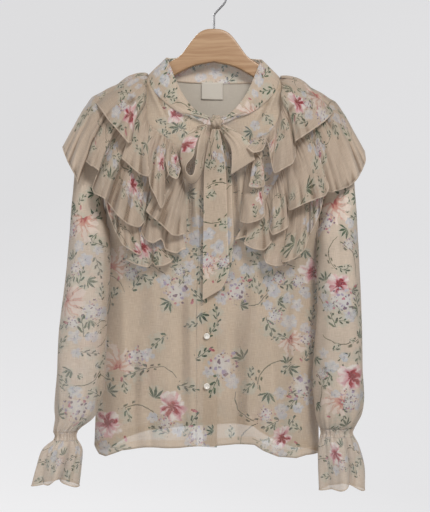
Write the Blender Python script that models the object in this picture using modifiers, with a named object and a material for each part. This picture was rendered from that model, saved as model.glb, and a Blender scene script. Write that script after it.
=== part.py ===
"""Ruffled tie-neck blouse on a wooden hanger, at real size, in metres.

The origin is the inside of the top of the hanger's hook. +Z is up and the front of the blouse faces -Y.
Left is -X and right is +X, as seen from the front.
Tables and sizes are in millimetres. A "drop" is a distance below the crown of the hanger's wood.
The blouse hangs a little down to its right, so everything is sheared by TILT. Tables of the sleeves, the
hem and the ruffles give the drops as they hang; the others give them level.
"""
import math

import bmesh
import bpy
import numpy as np

MM = 0.001
COLLECTION = "ruffled_blouse_on_hanger"

# Driving sizes, in millimetres.
CROWN_BELOW_HOOK = 68.0     # from the inside top of the hook to the top of the wood
CLOTH = 1.4                 # wall of a single cloth piece
SEAM_GAP = 0.3              # between pieces that are sewn together
LAYER = CLOTH + SEAM_GAP    # from one cloth layer's middle to the next
SEWN = 3.3                  # from a panel's middle to the sewn end of a ruffle on it
WOOD_THICKNESS = 12.0
WOOD_EDGE = 3.0
WIRE = 3.2                  # diameter of the hook's wire
HOOK_RADIUS = 19.0          # of the wire's middle line
PLACKET_WIDTH = 31.0
BUTTON_DIAMETER = 9.5
BUTTON_THICKNESS = 2.2
BUTTON_PITCH = 77.0
FIRST_BUTTON = 249.0        # drop of the top button
BUTTON_COUNT = 5
BUTTON_STAND = 1.9          # from the placket's middle to the back of a button, less half the cloth
UNDERARM = 285.0
SHOULDER_TIP = (190.0, 120.0)
ARMHOLE_DEPTH = 30.0        # half of the armhole's width, front to back
TILT = 0.02                 # drop gained for each millimetre to the right
BACK_HEM_RISE = 24.0        # how much higher the back's hem is than the front's, at the middle

# Colours, linear RGB.
CHIFFON = (0.46, 0.37, 0.28)
CREAM = (0.62, 0.56, 0.46)
WOOD = (0.58, 0.32, 0.13)
STEEL = (0.55, 0.55, 0.56)
PEARL = (0.82, 0.80, 0.76)

# x from the middle, drop of the hanger wood's upper edge, then of its lower edge.
WOOD_UPPER = [(0, 0), (12, 1), (23, 6), (31, 14), (40, 26), (52, 42), (66, 51.5), (80, 61.5),
              (103, 86), (150, 107), (178, 121)]
WOOD_LOWER = [(182, 128), (150, 117), (103, 97), (65, 76), (32, 59), (0, 52)]

# x, drop of the shoulder seam.
SHOULDER = [(0, 30), (66, 47.5), (103, 75), (150, 98.5), SHOULDER_TIP]
# x, drop of the front neckline: a V at the middle, then the curve that the collar band is sewn to.
NECK_FRONT = [(0, 154), (12, 152), (24, 147), (38, 141), (50, 137), (58, 134), (64, 130), (72, 124),
              (84, 113), (95, 100), (100, 88), (103, 75), (150, 98.5), SHOULDER_TIP]
NECK_BACK = [(0, 81.5), (45, 80.5), (80, 78), (103, 75), (150, 98.5), SHOULDER_TIP]
# x, drop of the back lining's lower edge, which lies behind the collar's.
LINING_HEM = [(0, 139), (25, 132), (46, 125), (76, 118), (88, 117)]
# drop, x of the left and of the right side edge.
BODY_SIDES = [(120, -190, 190), (202, -180, 178), (285, -171, 166), (337, -171.5, 164), (400, -174, 163),
              (500, -180, 163), (600, -187, 165), (680, -190, 166)]
# drop, x of the middle of the placket.
CENTRE_LINE = [(150, 0), (300, -5), (420, -11), (680, -11)]
# x, drop of the hem.
HEM = [(-190, 655), (-180, 667), (-168, 669), (-139, 657), (-99, 652), (-43, 652), (48, 647), (79, 648),
       (95, 657), (119, 667), (149, 671), (166, 667)]

# Each row is a ring of the sleeve: drop and x of its middle, half width, half depth, y of its middle,
# and how far its outer side is raised above its middle.
SLEEVE_LEFT = [
    (198.7, -182.6, 9.5, 29.5, 0, 81), (221, -191.5, 17.0, 31, 0, 76), (262, -195.0, 21.5, 31, -3, 57),
    (305, -197.0, 25.0, 32, -10, 32), (345, -198.0, 27.0, 33, -18, 14), (400, -200.5, 30.5, 33, -27, 4),
    (470, -205.3, 33.7, 33, -33, 0), (537, -208.0, 34.0, 33, -35, 0), (586, -211.5, 32.5, 32, -36, 0),
    (606, -215.0, 28.0, 29, -36, 0), (620, -225.0, 20.0, 23, -36, 0), (627, -229.0, 16.8, 18, -36, 0)]
SLEEVE_RIGHT = [
    (206.1, 180.2, 12.0, 29.5, 0, 81), (228, 189.5, 18.5, 31, 0, 76), (262, 194.0, 23.0, 31, -3, 57),
    (305, 196.0, 25.5, 32, -10, 32), (345, 196.5, 27.0, 33, -18, 14), (395, 197.0, 29.5, 33, -26, 4),
    (450, 196.5, 31.5, 33, -31, 0), (518, 194.5, 34.5, 33, -33, 0), (570, 194.5, 35.5, 33, -33, 0),
    (598, 192.0, 34.5, 32, -33, 0), (614, 190.0, 29.0, 28, -33, 0), (622, 189.5, 25.0, 22, -33, 0)]
CASING_HEIGHT = 11.0
# Drop below the casing, x shift from it, half width, half depth and wave height of the cuff's flounce.
FLOUNCE_LEFT = [(0, 0, 17.5, 18.5, 0), (14, -5, 28, 25, 3), (40, -10, 29.5, 28, 5), (67, -15, 29, 30, 7)]
FLOUNCE_RIGHT = [(0, 0, 25.5, 22, 0), (14, 2, 29, 26, 3), (44, 6, 31, 29, 5), (79, 7, 29, 31, 6)]
FLOUNCE_WAVES = 5
FLOUNCE_COLUMNS = 20

# Collar band: face (-1 back, 1 front), x of its seam, then x, drop and y of its free inner edge.
BAND = [(-1, 0, 0, 42, 21), (-1, 35, 28, 42, 20), (-1, 70, 52, 43, 17), (-1, 95, 68, 45, 10),
        (1, 103, 75, 47, 0), (1, 100, 71, 55, -9.5), (1, 95, 66, 67, -14), (1, 84, 61, 80, -18),
        (1, 72, 54, 96, -24), (1, 64, 45, 112, -29)]
# The band's free ends run on to the knot: x, drop, y of the lower edge, then of the upper edge.
BAND_END = [(52, 136, -34, 35, 125, -32), (34, 140, -38, 24, 135, -37), (12, 148, -46, 11, 142, -45)]

KNOT_CENTRE = (3.0, 150.0, -47.0)           # x, drop, y
KNOT_SIZE = (20.0, 14.0, 20.0)              # x, y, z
# Left bow loop: x and drop of its front edge, then of its back edge, from the knot round to the knot.
LOOP_LEFT = [(-10, 154, -12, 156), (-30, 160, -25, 168), (-45, 176, -33, 182), (-51, 192, -38, 197),
             (-52, 209, -43, 212), (-48, 227, -44, 225), (-38, 246, -38, 233), (-26, 241, -31, 226),
             (-17, 224, -28, 210), (-13, 203, -26, 193), (-11, 181, -19, 176), (-7, 164, -10, 165)]
LOOP_LEFT_Y = (-74.0, -55.0)
# Right bow loop: x, drop, y of its upper edge, then of its lower edge, from the knot to its far fold.
LOOP_RIGHT = [(15, 155, -50, 9, 163, -50), (30, 164, -60, 19, 178, -60), (46, 176, -67, 26, 193, -67),
              (57, 190, -69, 27, 213, -69), (62, 209, -66, 26, 232, -66)]
LOOP_RIGHT_GAP = 8.0
# Tie tails: drop, x of the left and of the right edge, y.
TAIL_FRONT = [(162, -3, 8, -49), (187, -9, 13, -51), (224, -15, 18, -51.5), (284, -16, 20, -51.5),
              (353, -17, 22, -51.5), (388, -17, 23, -51.5), (416, -17, 11, -51.5)]
TAIL_BACK = [(162, 0, 9, -45.5), (190, 3, 21, -46.5), (230, 4, 26, -47), (280, 3, 28, -47),
             (330, 3, 30, -47), (370, 5, 27, -47)]

# Ridge of the surface that the ruffles lie over: x, drop. It stands clear of shoulders and sleeves.
RIDGE = [(0, 27), (50, 38), (95, 66), (103, 71), (125, 82), (150, 92), (170, 101), (190, 113), (205, 135),
         (217, 156), (231, 178), (240, 192), (255, 210)]
# Ruffle tiers. Each row is one fold line: face (-1 behind the shoulder, 1 in front of it), x and drop of
# its sewn end, x and drop of its free end, and how far the free end lifts. x is measured outwards.
TIER_BASE = {1: 14.5, 2: 7.5, 3: 1.0}
TIERS = {
    ("left", 1): [(-1, 105, 140, 128, 185, 2), (-1, 104, 104, 172, 146, 5), (-1, 104, 80, 181, 118, 3),
                  (1, 104, 76, 186, 111, 2),
                  (1, 105, 96, 173, 135, 5), (1, 105, 116, 154, 156, 9), (1, 104, 136, 140, 172, 9),
                  (1, 102, 152, 134, 193, 3), (1, 96, 166, 125, 218, 8), (1, 84, 173, 106, 240, 3),
                  (1, 70, 178, 104, 276, 8), (1, 58, 192, 84, 305, 10), (1, 50, 220, 62, 318, 5),
                  (1, 45, 260, 47, 322, 2)],
    ("left", 2): [(-1, 140, 165, 160, 215, 2), (-1, 148, 128, 212, 190, 5), (-1, 150, 99, 226, 188, 3),
                  (1, 150, 93, 235, 186, 2),
                  (1, 146, 120, 226, 216, 7), (1, 140, 150, 212, 246, 8), (1, 132, 178, 192, 228, 3),
                  (1, 122, 204, 186, 258, 8), (1, 108, 230, 152, 294, 8), (1, 92, 252, 116, 310, 4),
                  (1, 76, 274, 88, 322, 6), (1, 62, 296, 66, 340, 5), (1, 52, 312, 44, 345, 2)],
    ("left", 3): [(1, 160, 205, 172, 262, 1), (1, 154, 226, 166, 296, 5), (1, 144, 250, 152, 326, 8),
                  (1, 130, 272, 132, 347, 3), (1, 114, 288, 124, 364, 8), (1, 98, 300, 98, 371, 6),
                  (1, 84, 312, 76, 368, 8), (1, 72, 322, 64, 358, 2)],
    ("right", 1): [(-1, 105, 140, 128, 185, 2), (-1, 104, 108, 172, 154, 5), (-1, 104, 85, 183, 128, 3),
                   (1, 104, 80, 190, 126, 2),
                   (1, 105, 100, 172, 146, 6), (1, 105, 118, 152, 159, 9), (1, 104, 136, 134, 173, 8),
                   (1, 102, 150, 127, 196, 4), (1, 97, 162, 110, 220, 9), (1, 88, 170, 92, 226, 4),
                   (1, 76, 176, 80, 222, 8), (1, 64, 186, 66, 245, 3), (1, 54, 205, 78, 290, 8),
                   (1, 48, 235, 60, 303, 6), (1, 44, 265, 42, 303, 2)],
    ("right", 2): [(-1, 140, 165, 160, 220, 2), (-1, 148, 134, 212, 198, 5), (-1, 150, 104, 226, 196, 3),
                   (1, 150, 99, 234, 200, 2),
                   (1, 146, 122, 228, 228, 7), (1, 140, 150, 214, 244, 6), (1, 132, 178, 178, 240, 3),
                   (1, 122, 204, 166, 264, 8), (1, 108, 230, 132, 278, 6), (1, 92, 250, 114, 308, 7),
                   (1, 76, 272, 92, 320, 5), (1, 62, 290, 70, 330, 8), (1, 50, 305, 40, 338, 2)],
    ("right", 3): [(1, 160, 205, 170, 262, 1), (1, 154, 226, 162, 296, 5), (1, 144, 250, 148, 330, 8),
                   (1, 130, 272, 136, 356, 3), (1, 114, 288, 112, 366, 8), (1, 98, 300, 94, 370, 6),
                   (1, 84, 312, 80, 364, 8), (1, 72, 322, 64, 346, 2)],
}


def material(name, color, roughness, metallic=0.0):
    made = bpy.data.materials.new(name)
    made.use_nodes = True
    shader = made.node_tree.nodes["Principled BSDF"]
    shader.inputs["Base Color"].default_value = (*color, 1.0)
    shader.inputs["Roughness"].default_value = roughness
    shader.inputs["Metallic"].default_value = metallic
    return made


def place(x, y, drop):
    """A point in metres from x, y and level drop in millimetres."""
    return (x * MM, y * MM, -(CROWN_BELOW_HOOK + drop + TILT * x) * MM)


def look_up(table, x, column=1):
    """The table's column at x, on straight lines between its rows."""
    return float(np.interp(x, [row[0] for row in table], [row[column] for row in table]))


def through_rows(table, count):
    """Rows spread evenly along a smooth curve that passes through the table's rows."""
    rows = np.array(table, dtype=float)
    result = []
    for position in np.linspace(0, len(rows) - 1, count):
        i = min(int(position), len(rows) - 2)
        t = position - i
        a, b, c, d = (rows[max(0, min(len(rows) - 1, i + k))] for k in (-1, 0, 1, 2))
        result.append(0.5 * (2 * b + (c - a) * t + (2 * a - 5 * b + 4 * c - d) * t ** 2
                             + (3 * b - a - 3 * c + d) * t ** 3))
    return result


def hem_drop(x):
    return look_up(HEM, x) - TILT * x


def ease(low, high, value):
    """0 below low, 1 above high and smooth between them."""
    t = min(1.0, max(0.0, (value - low) / (high - low)))
    return t * t * (3 - 2 * t)


def add_object(name, mesh, finish):
    made = bpy.data.objects.new(name, mesh)
    made.data.materials.append(finish)
    bpy.data.collections[COLLECTION].objects.link(made)
    return made


def cloth(name, grid, finish, ring=False, thickness=CLOTH):
    """A cloth wall on a grid of points, as rows of columns. A ring's last column joins its first."""
    columns = len(grid[0])
    vertices = [place(*point) for row in grid for point in row]
    faces = []
    for r in range(len(grid) - 1):
        for c in range(columns if ring else columns - 1):
            d = (c + 1) % columns
            faces.append((r * columns + c, r * columns + d, (r + 1) * columns + d, (r + 1) * columns + c))
    mesh = bpy.data.meshes.new(name)
    mesh.from_pydata(vertices, [], faces)
    mesh.shade_smooth()
    made = add_object(name, mesh, finish)
    solid = made.modifiers.new("cloth_wall", "SOLIDIFY")
    solid.thickness = thickness * MM
    solid.offset = 0.0
    return made


def side_edge(drop, side):
    return look_up(BODY_SIDES, drop, 1 if side < 0 else 2)


def across(x, drop):
    """How far x lies from the centre line towards the side edge, 0 to 1."""
    centre = look_up(CENTRE_LINE, drop)
    side = side_edge(drop, -1 if x < centre else 1)
    return min(1.0, abs(x - centre) / abs(side - centre))


def armhole_half_depth(drop):
    middle = (SHOULDER_TIP[1] + UNDERARM) / 2
    half = (UNDERARM - SHOULDER_TIP[1]) / 2
    return ARMHOLE_DEPTH * math.sqrt(max(0.0, 1 - ((drop - middle) / half) ** 2))


def body_y(x, drop, face):
    """y of the body's cloth: face 1 is the front and -1 the back."""
    below = max(0.0, drop - look_up(SHOULDER, abs(x)))
    slow, reach = (29, 100) if face > 0 else (21, 120)
    depth = 1.1 + 10 * (1 - math.exp(-below / 4)) + slow * (1 - math.exp(-below / reach))
    side_shift = 16 * ease(UNDERARM, 360, drop)
    edge = 0.9 + armhole_half_depth(drop)
    u = across(x, drop)
    fullness = (1 - u ** (2.5 + 40 * math.exp(-below / 14))) ** 0.6
    fold = 4 * ease(300, 620, drop) * math.sin(x / 12 + face) * fullness
    return side_shift - face * (edge + (depth + face * side_shift - edge) * fullness + fold)


def rows_down(top, bottom, rows):
    """Drops from the top of a panel to its hem, close together where the cloth turns over the shoulder."""
    first = [top, top + 5, top + 14]
    rest = np.linspace(0, 1, rows - 1)[1:] ** 1.2
    return first + [first[-1] + (bottom - first[-1]) * v for v in rest]


def body_panel(name, finish, face, x_top, x_below, top, columns, rows, under=0.0):
    """A body panel. x_top gives the x of both its edges at the top, and x_below(u, drop) the x below."""
    columns_down = []
    for c in range(columns + 1):
        u = math.sin(c / columns * math.pi / 2)
        x_start = x_top[0] + (x_top[1] - x_top[0]) * u
        line = []
        for drop in rows_down(look_up(top, abs(x_start)), hem_drop(x_start), rows):
            x = x_below(u, drop)
            y = body_y(x, drop, face) + under * (1 - ease(10, 45, abs(x - look_up(CENTRE_LINE, drop))))
            line.append((x, y, drop))
        columns_down.append(line)
    return cloth(name, columns_down, finish)


def make_fronts(finish):
    half = PLACKET_WIDTH / 2
    for name, side, inner, under in (("front_left", -1, -half - SEAM_GAP, 0.0),
                                     ("front_right", 1, -6.0, LAYER + 0.6)):
        def edge(u, drop, side=side, inner=inner):
            start = look_up(CENTRE_LINE, drop) + inner
            return start + (side_edge(drop, side) - start) * u
        body_panel(name, finish, 1, (inner, side * SHOULDER_TIP[0]), edge, NECK_FRONT, 11, 13, under)
    grid = []
    for drop in np.linspace(look_up(NECK_FRONT, 10), hem_drop(-11), 13):
        middle = look_up(CENTRE_LINE, drop)
        edges = [middle + offset * half for offset in (-1, -0.5, 0, 0.5, 1)]
        grid.append([(x, body_y(x, drop, 1) - 0.5, drop) for x in edges])
    cloth("placket", grid, finish)


def make_back(finish):
    def edge(u, drop):
        centre = look_up(CENTRE_LINE, drop)
        return centre + (side_edge(drop, u) - centre) * abs(u)

    columns = 18
    columns_down = []
    for c in range(columns + 1):
        u = math.sin((c / columns - 0.5) * math.pi)
        top = look_up(NECK_BACK, abs(u) * SHOULDER_TIP[0])
        drops = rows_down(top, hem_drop(u * SHOULDER_TIP[0]) - BACK_HEM_RISE * (1 - u * u), 13)
        columns_down.append([(edge(u, drop), body_y(edge(u, drop), drop, -1), drop) for drop in drops])
    cloth("back", columns_down, finish)


def make_back_lining(finish, label_finish):
    """The plain lining of the upper back, which shows through the neck, and its bare label."""
    grid = []
    for v in np.linspace(0, 1, 5):
        line = []
        for x in np.linspace(-LINING_HEM[-1][0], LINING_HEM[-1][0], 15):
            top = look_up(NECK_BACK, abs(x)) + 3
            drop = top + (look_up(LINING_HEM, abs(x)) - top) * v
            line.append((x, body_y(x, drop, -1) - LAYER - 1.0, drop))
        grid.append(line)
    cloth("back_lining", grid, finish)
    label = []
    for drop in (85, 97, 109):
        label.append([(x, body_y(x, drop, -1) - 2 * LAYER - 1.6, drop) for x in (-20, -3, 14)])
    cloth("neck_label", label, label_finish)


def ring_points(row, count):
    drop, x, half_width, half_depth, y, rise = row
    side = 1 if x > 0 else -1
    points = []
    for k in range(count):
        angle = 2 * math.pi * k / count
        ring_x = x + side * half_width * math.cos(angle)
        points.append((ring_x, y - half_depth * math.sin(angle), drop - rise * math.cos(angle) - TILT * ring_x))
    return points


def make_sleeve(side_name, rings, flounce, finish):
    count = 16
    cloth("sleeve_" + side_name, [ring_points(row, count) for row in through_rows(rings, 12)], finish, ring=True)
    drop, x, half_width, half_depth, y, _ = rings[-1]
    casing = []
    for k, bulge in enumerate((0.0, 1.5, 0.0)):
        row = (drop + 1.2 + CASING_HEIGHT * k / 2, x, half_width + bulge, half_depth + bulge, y, 0)
        casing.append(ring_points(row, count))
    cloth("cuff_casing_" + side_name, casing, finish, ring=True)
    top = drop + CASING_HEIGHT + 2.4
    waves = []
    for below, shift, wide, deep, wave in through_rows(flounce, 5):
        line = []
        for k in range(FLOUNCE_COLUMNS):
            angle = 2 * math.pi * k / FLOUNCE_COLUMNS
            swell = wave * math.sin(FLOUNCE_WAVES * angle)
            ring_x = x + shift + (wide + swell) * math.cos(angle)
            line.append((ring_x, y - (deep + swell) * math.sin(angle), top + below + 0.5 * swell - TILT * ring_x))
        waves.append(line)
    cloth("cuff_flounce_" + side_name, waves, finish, ring=True)


def band_lines():
    """The collar band's seam and free edge on the right half, from the middle of the back to the knot."""
    lines = []
    for face, seam_x, x, drop, y in BAND:
        seam_drop = look_up(NECK_BACK if face < 0 else NECK_FRONT, seam_x)
        seam_y = body_y(seam_x, seam_drop, face) if seam_x < 103 else 0.0
        lines.append((seam_x, seam_y - (1.5 if face > 0 else 0), seam_drop - 1.3, x, y, drop))
    for low_x, low_drop, low_y, x, drop, y in BAND_END:
        lines.append((low_x, low_y, low_drop, x, y, drop))
    return lines


def make_collar(finish):
    half = [tuple(row) for row in through_rows(band_lines(), 17)]
    mirrored = [(-a, b, c, -d, e, f) for a, b, c, d, e, f in reversed(half[1:])]
    rows = []
    for x0, y0, d0, x1, y1, d1 in mirrored + half:
        shift = KNOT_CENTRE[0] * ease(40, 12, abs(x0)) if y0 < -30 else 0.0
        line = []
        for t in (0.0, 0.5, 1.0):
            bow = 2.5 * math.sin(math.pi * t) * (1 if y0 < 0 else -1)
            line.append((x0 + (x1 - x0) * t + shift, y0 + (y1 - y0) * t - bow, d0 + (d1 - d0) * t))
        rows.append(line)
    cloth("collar_band", rows, finish)


def make_knot(finish):
    x, drop, y = KNOT_CENTRE
    mesh = bpy.data.meshes.new("bow_knot")
    shape = bmesh.new()
    bmesh.ops.create_uvsphere(shape, u_segments=12, v_segments=8, radius=0.5 * MM)
    for vertex in shape.verts:
        pinch = 1 - 0.12 * math.cos(4 * math.atan2(vertex.co.y, vertex.co.x))
        vertex.co = (vertex.co.x * KNOT_SIZE[0] * pinch, vertex.co.y * KNOT_SIZE[1] * pinch,
                     vertex.co.z * KNOT_SIZE[2])
    shape.to_mesh(mesh)
    shape.free()
    mesh.shade_smooth()
    add_object("bow_knot", mesh, finish).location = place(x, y, drop)


def make_loops(finish):
    rows = []
    for fx, fd, bx, bd in through_rows(LOOP_LEFT, 22):
        front_y, back_y = LOOP_LEFT_Y
        near = ease(150, 185, fd)
        fy = KNOT_CENTRE[2] - 10 + (front_y - KNOT_CENTRE[2] + 10) * near
        by = KNOT_CENTRE[2] - 5 + (back_y - KNOT_CENTRE[2] + 5) * near
        rows.append([(fx + (bx - fx) * t, fy + (by - fy) * t, fd + (bd - fd) * t) for t in (0, 0.5, 1)])
    cloth("bow_loop_left", rows, finish)
    out = through_rows(LOOP_RIGHT, 8)
    rows = np.array(out + out[::-1])
    back = len(out)
    for k in range(back):
        spread = LOOP_RIGHT_GAP * ease(0, 3, back - k - 1) * ease(-1, 3, k)
        rows[2 * back - 1 - k, [2, 5]] += spread + 1.0
        rows[k, [2, 5]] -= 1.0
    grid = [[(ux + (lx - ux) * t, uy + (ly - uy) * t - 2 * math.sin(math.pi * t), ud + (ld - ud) * t)
             for t in (0, 1 / 3, 2 / 3, 1)] for ux, ud, uy, lx, ld, ly in rows]
    cloth("bow_loop_right", grid, finish)


def make_tails(finish):
    for name, table, slant in (("tie_tail_front", TAIL_FRONT, 14), ("tie_tail_back", TAIL_BACK, 8)):
        grid = []
        for drop, left, right, y in through_rows(table, 11):
            ripple = 0.8 * math.sin(drop / 18)
            tip = ease(table[0][0], table[-1][0], drop) ** 3
            line = []
            for t in (0, 1 / 3, 2 / 3, 1):
                line.append((left + (right - left) * t, y + ripple * math.sin(math.pi * t),
                             drop + slant * tip * (1 - 2 * t) * 0.6))
            grid.append(line)
        cloth(name, grid, finish)


def cape_point(x, w):
    """A point of the surface that the ruffles lie over: w runs down the front, and down the back if < 0."""
    below = abs(w)
    face = 1 if w >= 0 else -1
    drop = look_up(RIDGE, abs(x)) + math.hypot(below, 6) - 6
    slow, reach = (36, 80) if face > 0 else (24, 90)
    narrow = 1 - 0.35 * ease(200, 245, abs(x))
    y = -face * (12 * math.tanh(below / 8) + slow * (1 - math.exp(-below / reach))) * narrow
    return np.array((x, y, drop))


def cape_normal(x, w):
    """The outward direction of that surface, as x, y, drop."""
    along = cape_point(x + 2, w) - cape_point(x - 2, w)
    down = cape_point(x, w + 2) - cape_point(x, w - 2)
    normal = np.cross(down, along)
    if normal[2] > 0 and abs(w) < 20 or normal[1] * (1 if w > 0 else -1) > 0:
        normal = -normal
    return normal / np.linalg.norm(normal)


def make_tier(side_name, tier, finish):
    side = -1 if side_name == "left" else 1
    table = []
    for face, seam_x, seam_drop, edge_x, edge_drop, lift in TIERS[side_name, tier]:
        seam_w = seam_drop - look_up(RIDGE, seam_x) - TILT * side * seam_x
        edge_w = edge_drop - look_up(RIDGE, edge_x) - TILT * side * edge_x
        table.append((side * seam_x, face * max(0, seam_w), side * edge_x, face * max(0, edge_w), lift))
    base = TIER_BASE[tier]
    grid = []
    for seam_x, seam_w, edge_x, edge_w, lift in through_rows(table, 2 * len(table) + 3):
        start = cape_point(seam_x, seam_w)
        face = 1 if seam_w > 0 else -1
        sewn = start.copy()
        shoulder = look_up(SHOULDER, abs(seam_x))
        sewn[2] = max(start[2], shoulder - SEWN)
        if sewn[2] > shoulder:
            sewn[1] = body_y(seam_x, sewn[2], face) - face * SEWN
        pull = sewn - start - cape_normal(seam_x, seam_w) * 1.0
        line = []
        for t in (0, 0.2, 0.45, 0.7, 1):
            x = seam_x + (edge_x - seam_x) * t
            w = seam_w + (edge_w - seam_w) * t
            spread = 0.45 + 0.55 * ease(0, 60, abs(w))
            height = 1.0 + (base * spread - 1.0) * (1 - (1 - t) ** 2) + lift * t ** 1.5
            point = cape_point(x, w) + cape_normal(x, w) * height + pull * (1 - t) ** 2.5
            line.append(tuple(point))
        grid.append(line)
    cloth("ruffle_%s_%d" % (side_name, tier), grid, finish)


def make_buttons(finish):
    """Turned discs with a rim, each on the middle of the placket."""
    radius = BUTTON_DIAMETER / 2
    profile = [(0, 0.6), (0.6, 0.6), (0.75, 1.0), (0.92, 1.0), (1.0, 0.7), (1.0, 0.3), (0.9, 0.0), (0, 0.0)]
    for k in range(BUTTON_COUNT):
        drop = FIRST_BUTTON + k * BUTTON_PITCH
        x = look_up(CENTRE_LINE, drop)
        name = "button_%d" % (k + 1)
        mesh = bpy.data.meshes.new(name)
        points = [(r * radius * MM, 0, h * BUTTON_THICKNESS * MM) for r, h in profile]
        mesh.from_pydata(points, [(i, i + 1) for i in range(len(points) - 1)], [])
        made = add_object(name, mesh, finish)
        turn = made.modifiers.new("turned", "SCREW")
        turn.axis = "Z"
        turn.steps = turn.render_steps = 12
        turn.use_merge_vertices = True
        turn.merge_threshold = 0.00001
        made.rotation_euler = (math.pi / 2, 0, 0)
        made.location = place(x, body_y(x, drop, 1) - CLOTH / 2 - BUTTON_STAND, drop)


def make_hanger(finish, steel):
    upper = [row for row in WOOD_UPPER if row[0] > 0]
    lower = [row for row in WOOD_LOWER if row[0] > 0]
    right = upper + lower
    outline = [WOOD_UPPER[0]] + right + [WOOD_LOWER[-1]] + [(-x, d) for x, d in reversed(right)]
    curve = bpy.data.curves.new("hanger_wood", "CURVE")
    curve.dimensions = "2D"
    curve.fill_mode = "BOTH"
    curve.extrude = WOOD_THICKNESS / 2 * MM
    spline = curve.splines.new("POLY")
    spline.points.add(len(outline) - 1)
    for point, (x, d) in zip(spline.points, outline):
        point.co = (x * MM, -(d + TILT * x) * MM, 0, 1)
    spline.use_cyclic_u = True
    wood = add_object("hanger_wood", curve, finish)
    wood.rotation_euler = (math.pi / 2, 0, 0)
    wood.location = place(0, 0, 0)
    weld = wood.modifiers.new("weld", "WELD")
    weld.merge_threshold = 0.00001
    edge = wood.modifiers.new("rounded_edge", "BEVEL")
    edge.width = WOOD_EDGE * MM
    edge.segments = 2
    edge.limit_method = "ANGLE"
    edge.angle_limit = math.radians(60)

    radius = HOOK_RADIUS * MM
    middle_z = WIRE / 2 * MM - radius
    points = [(0, 0, -(CROWN_BELOW_HOOK - SEAM_GAP) * MM)]
    bend = middle_z - math.sqrt(2) * radius
    points += [(0, 0, bend - 0.010), (0, 0, bend - 0.003), (0.0012, 0, bend + 0.0004)]
    for step in range(15):
        angle = math.radians(-45 + step * 17)
        points.append((radius * math.cos(angle), 0, middle_z + radius * math.sin(angle)))
    wire = bpy.data.curves.new("hanger_hook", "CURVE")
    wire.dimensions = "3D"
    wire.bevel_depth = WIRE / 2 * MM
    wire.bevel_resolution = 2
    wire.use_fill_caps = True
    line = wire.splines.new("POLY")
    line.points.add(len(points) - 1)
    for point, position in zip(line.points, points):
        point.co = (*position, 1)
    add_object("hanger_hook", wire, steel)


def main():
    for old in list(bpy.data.objects):
        bpy.data.objects.remove(old)
    group = bpy.data.collections.new(COLLECTION)
    bpy.context.scene.collection.children.link(group)
    chiffon = material("chiffon", CHIFFON, 0.8)
    cream = material("cream_lining", CREAM, 0.85)
    label = material("label", CREAM, 0.7)
    wood = material("wood", WOOD, 0.4)
    steel = material("steel", STEEL, 0.3, 1.0)
    pearl = material("pearl", PEARL, 0.25)
    make_fronts(chiffon)
    make_back(chiffon)
    make_back_lining(cream, label)
    make_sleeve("left", SLEEVE_LEFT, FLOUNCE_LEFT, chiffon)
    make_sleeve("right", SLEEVE_RIGHT, FLOUNCE_RIGHT, chiffon)
    make_collar(chiffon)
    make_knot(chiffon)
    make_loops(chiffon)
    make_tails(chiffon)
    for side_name, tier in TIERS:
        make_tier(side_name, tier, chiffon)
    make_buttons(pearl)
    make_hanger(wood, steel)


main()
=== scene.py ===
"""Looks of the ruffled tie-neck blouse on its hanger.

Tables are in millimetres: x to the right, y to the back and "drop" down from the crown of the hanger's wood.
"""
import math
import random

import bpy
import numpy as np
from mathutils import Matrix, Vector


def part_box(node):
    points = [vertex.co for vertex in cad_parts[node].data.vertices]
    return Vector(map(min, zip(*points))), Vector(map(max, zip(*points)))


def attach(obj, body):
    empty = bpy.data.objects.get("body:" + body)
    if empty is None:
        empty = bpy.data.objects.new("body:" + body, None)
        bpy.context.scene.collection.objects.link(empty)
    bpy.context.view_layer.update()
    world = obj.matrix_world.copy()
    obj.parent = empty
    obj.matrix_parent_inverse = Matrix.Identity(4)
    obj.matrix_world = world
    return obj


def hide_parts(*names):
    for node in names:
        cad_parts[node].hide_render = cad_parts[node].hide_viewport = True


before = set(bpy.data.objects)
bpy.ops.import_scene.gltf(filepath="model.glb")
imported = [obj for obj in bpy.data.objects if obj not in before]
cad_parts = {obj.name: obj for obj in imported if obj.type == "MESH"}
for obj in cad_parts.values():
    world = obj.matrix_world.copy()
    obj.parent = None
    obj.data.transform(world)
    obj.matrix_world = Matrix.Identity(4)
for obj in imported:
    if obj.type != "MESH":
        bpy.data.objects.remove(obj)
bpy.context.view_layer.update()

MM = 0.001
CROWN_BELOW_HOOK = 68.0
TILT = 0.02
BACK_HEM_RISE = 24.0        # how much higher the back's hem is than the front's, at the middle
LINING_HEM = [(0, 139), (25, 132), (46, 125), (76, 118), (88, 117)]  # x and drop of the back lining's lower edge
WALL = 0.5                  # thickness of the finished cloth
THICK_WALL = 0.9            # and of cloth that is folded double
HEM_ROLL = 0.5              # radius of the rolled hem on free edges

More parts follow.
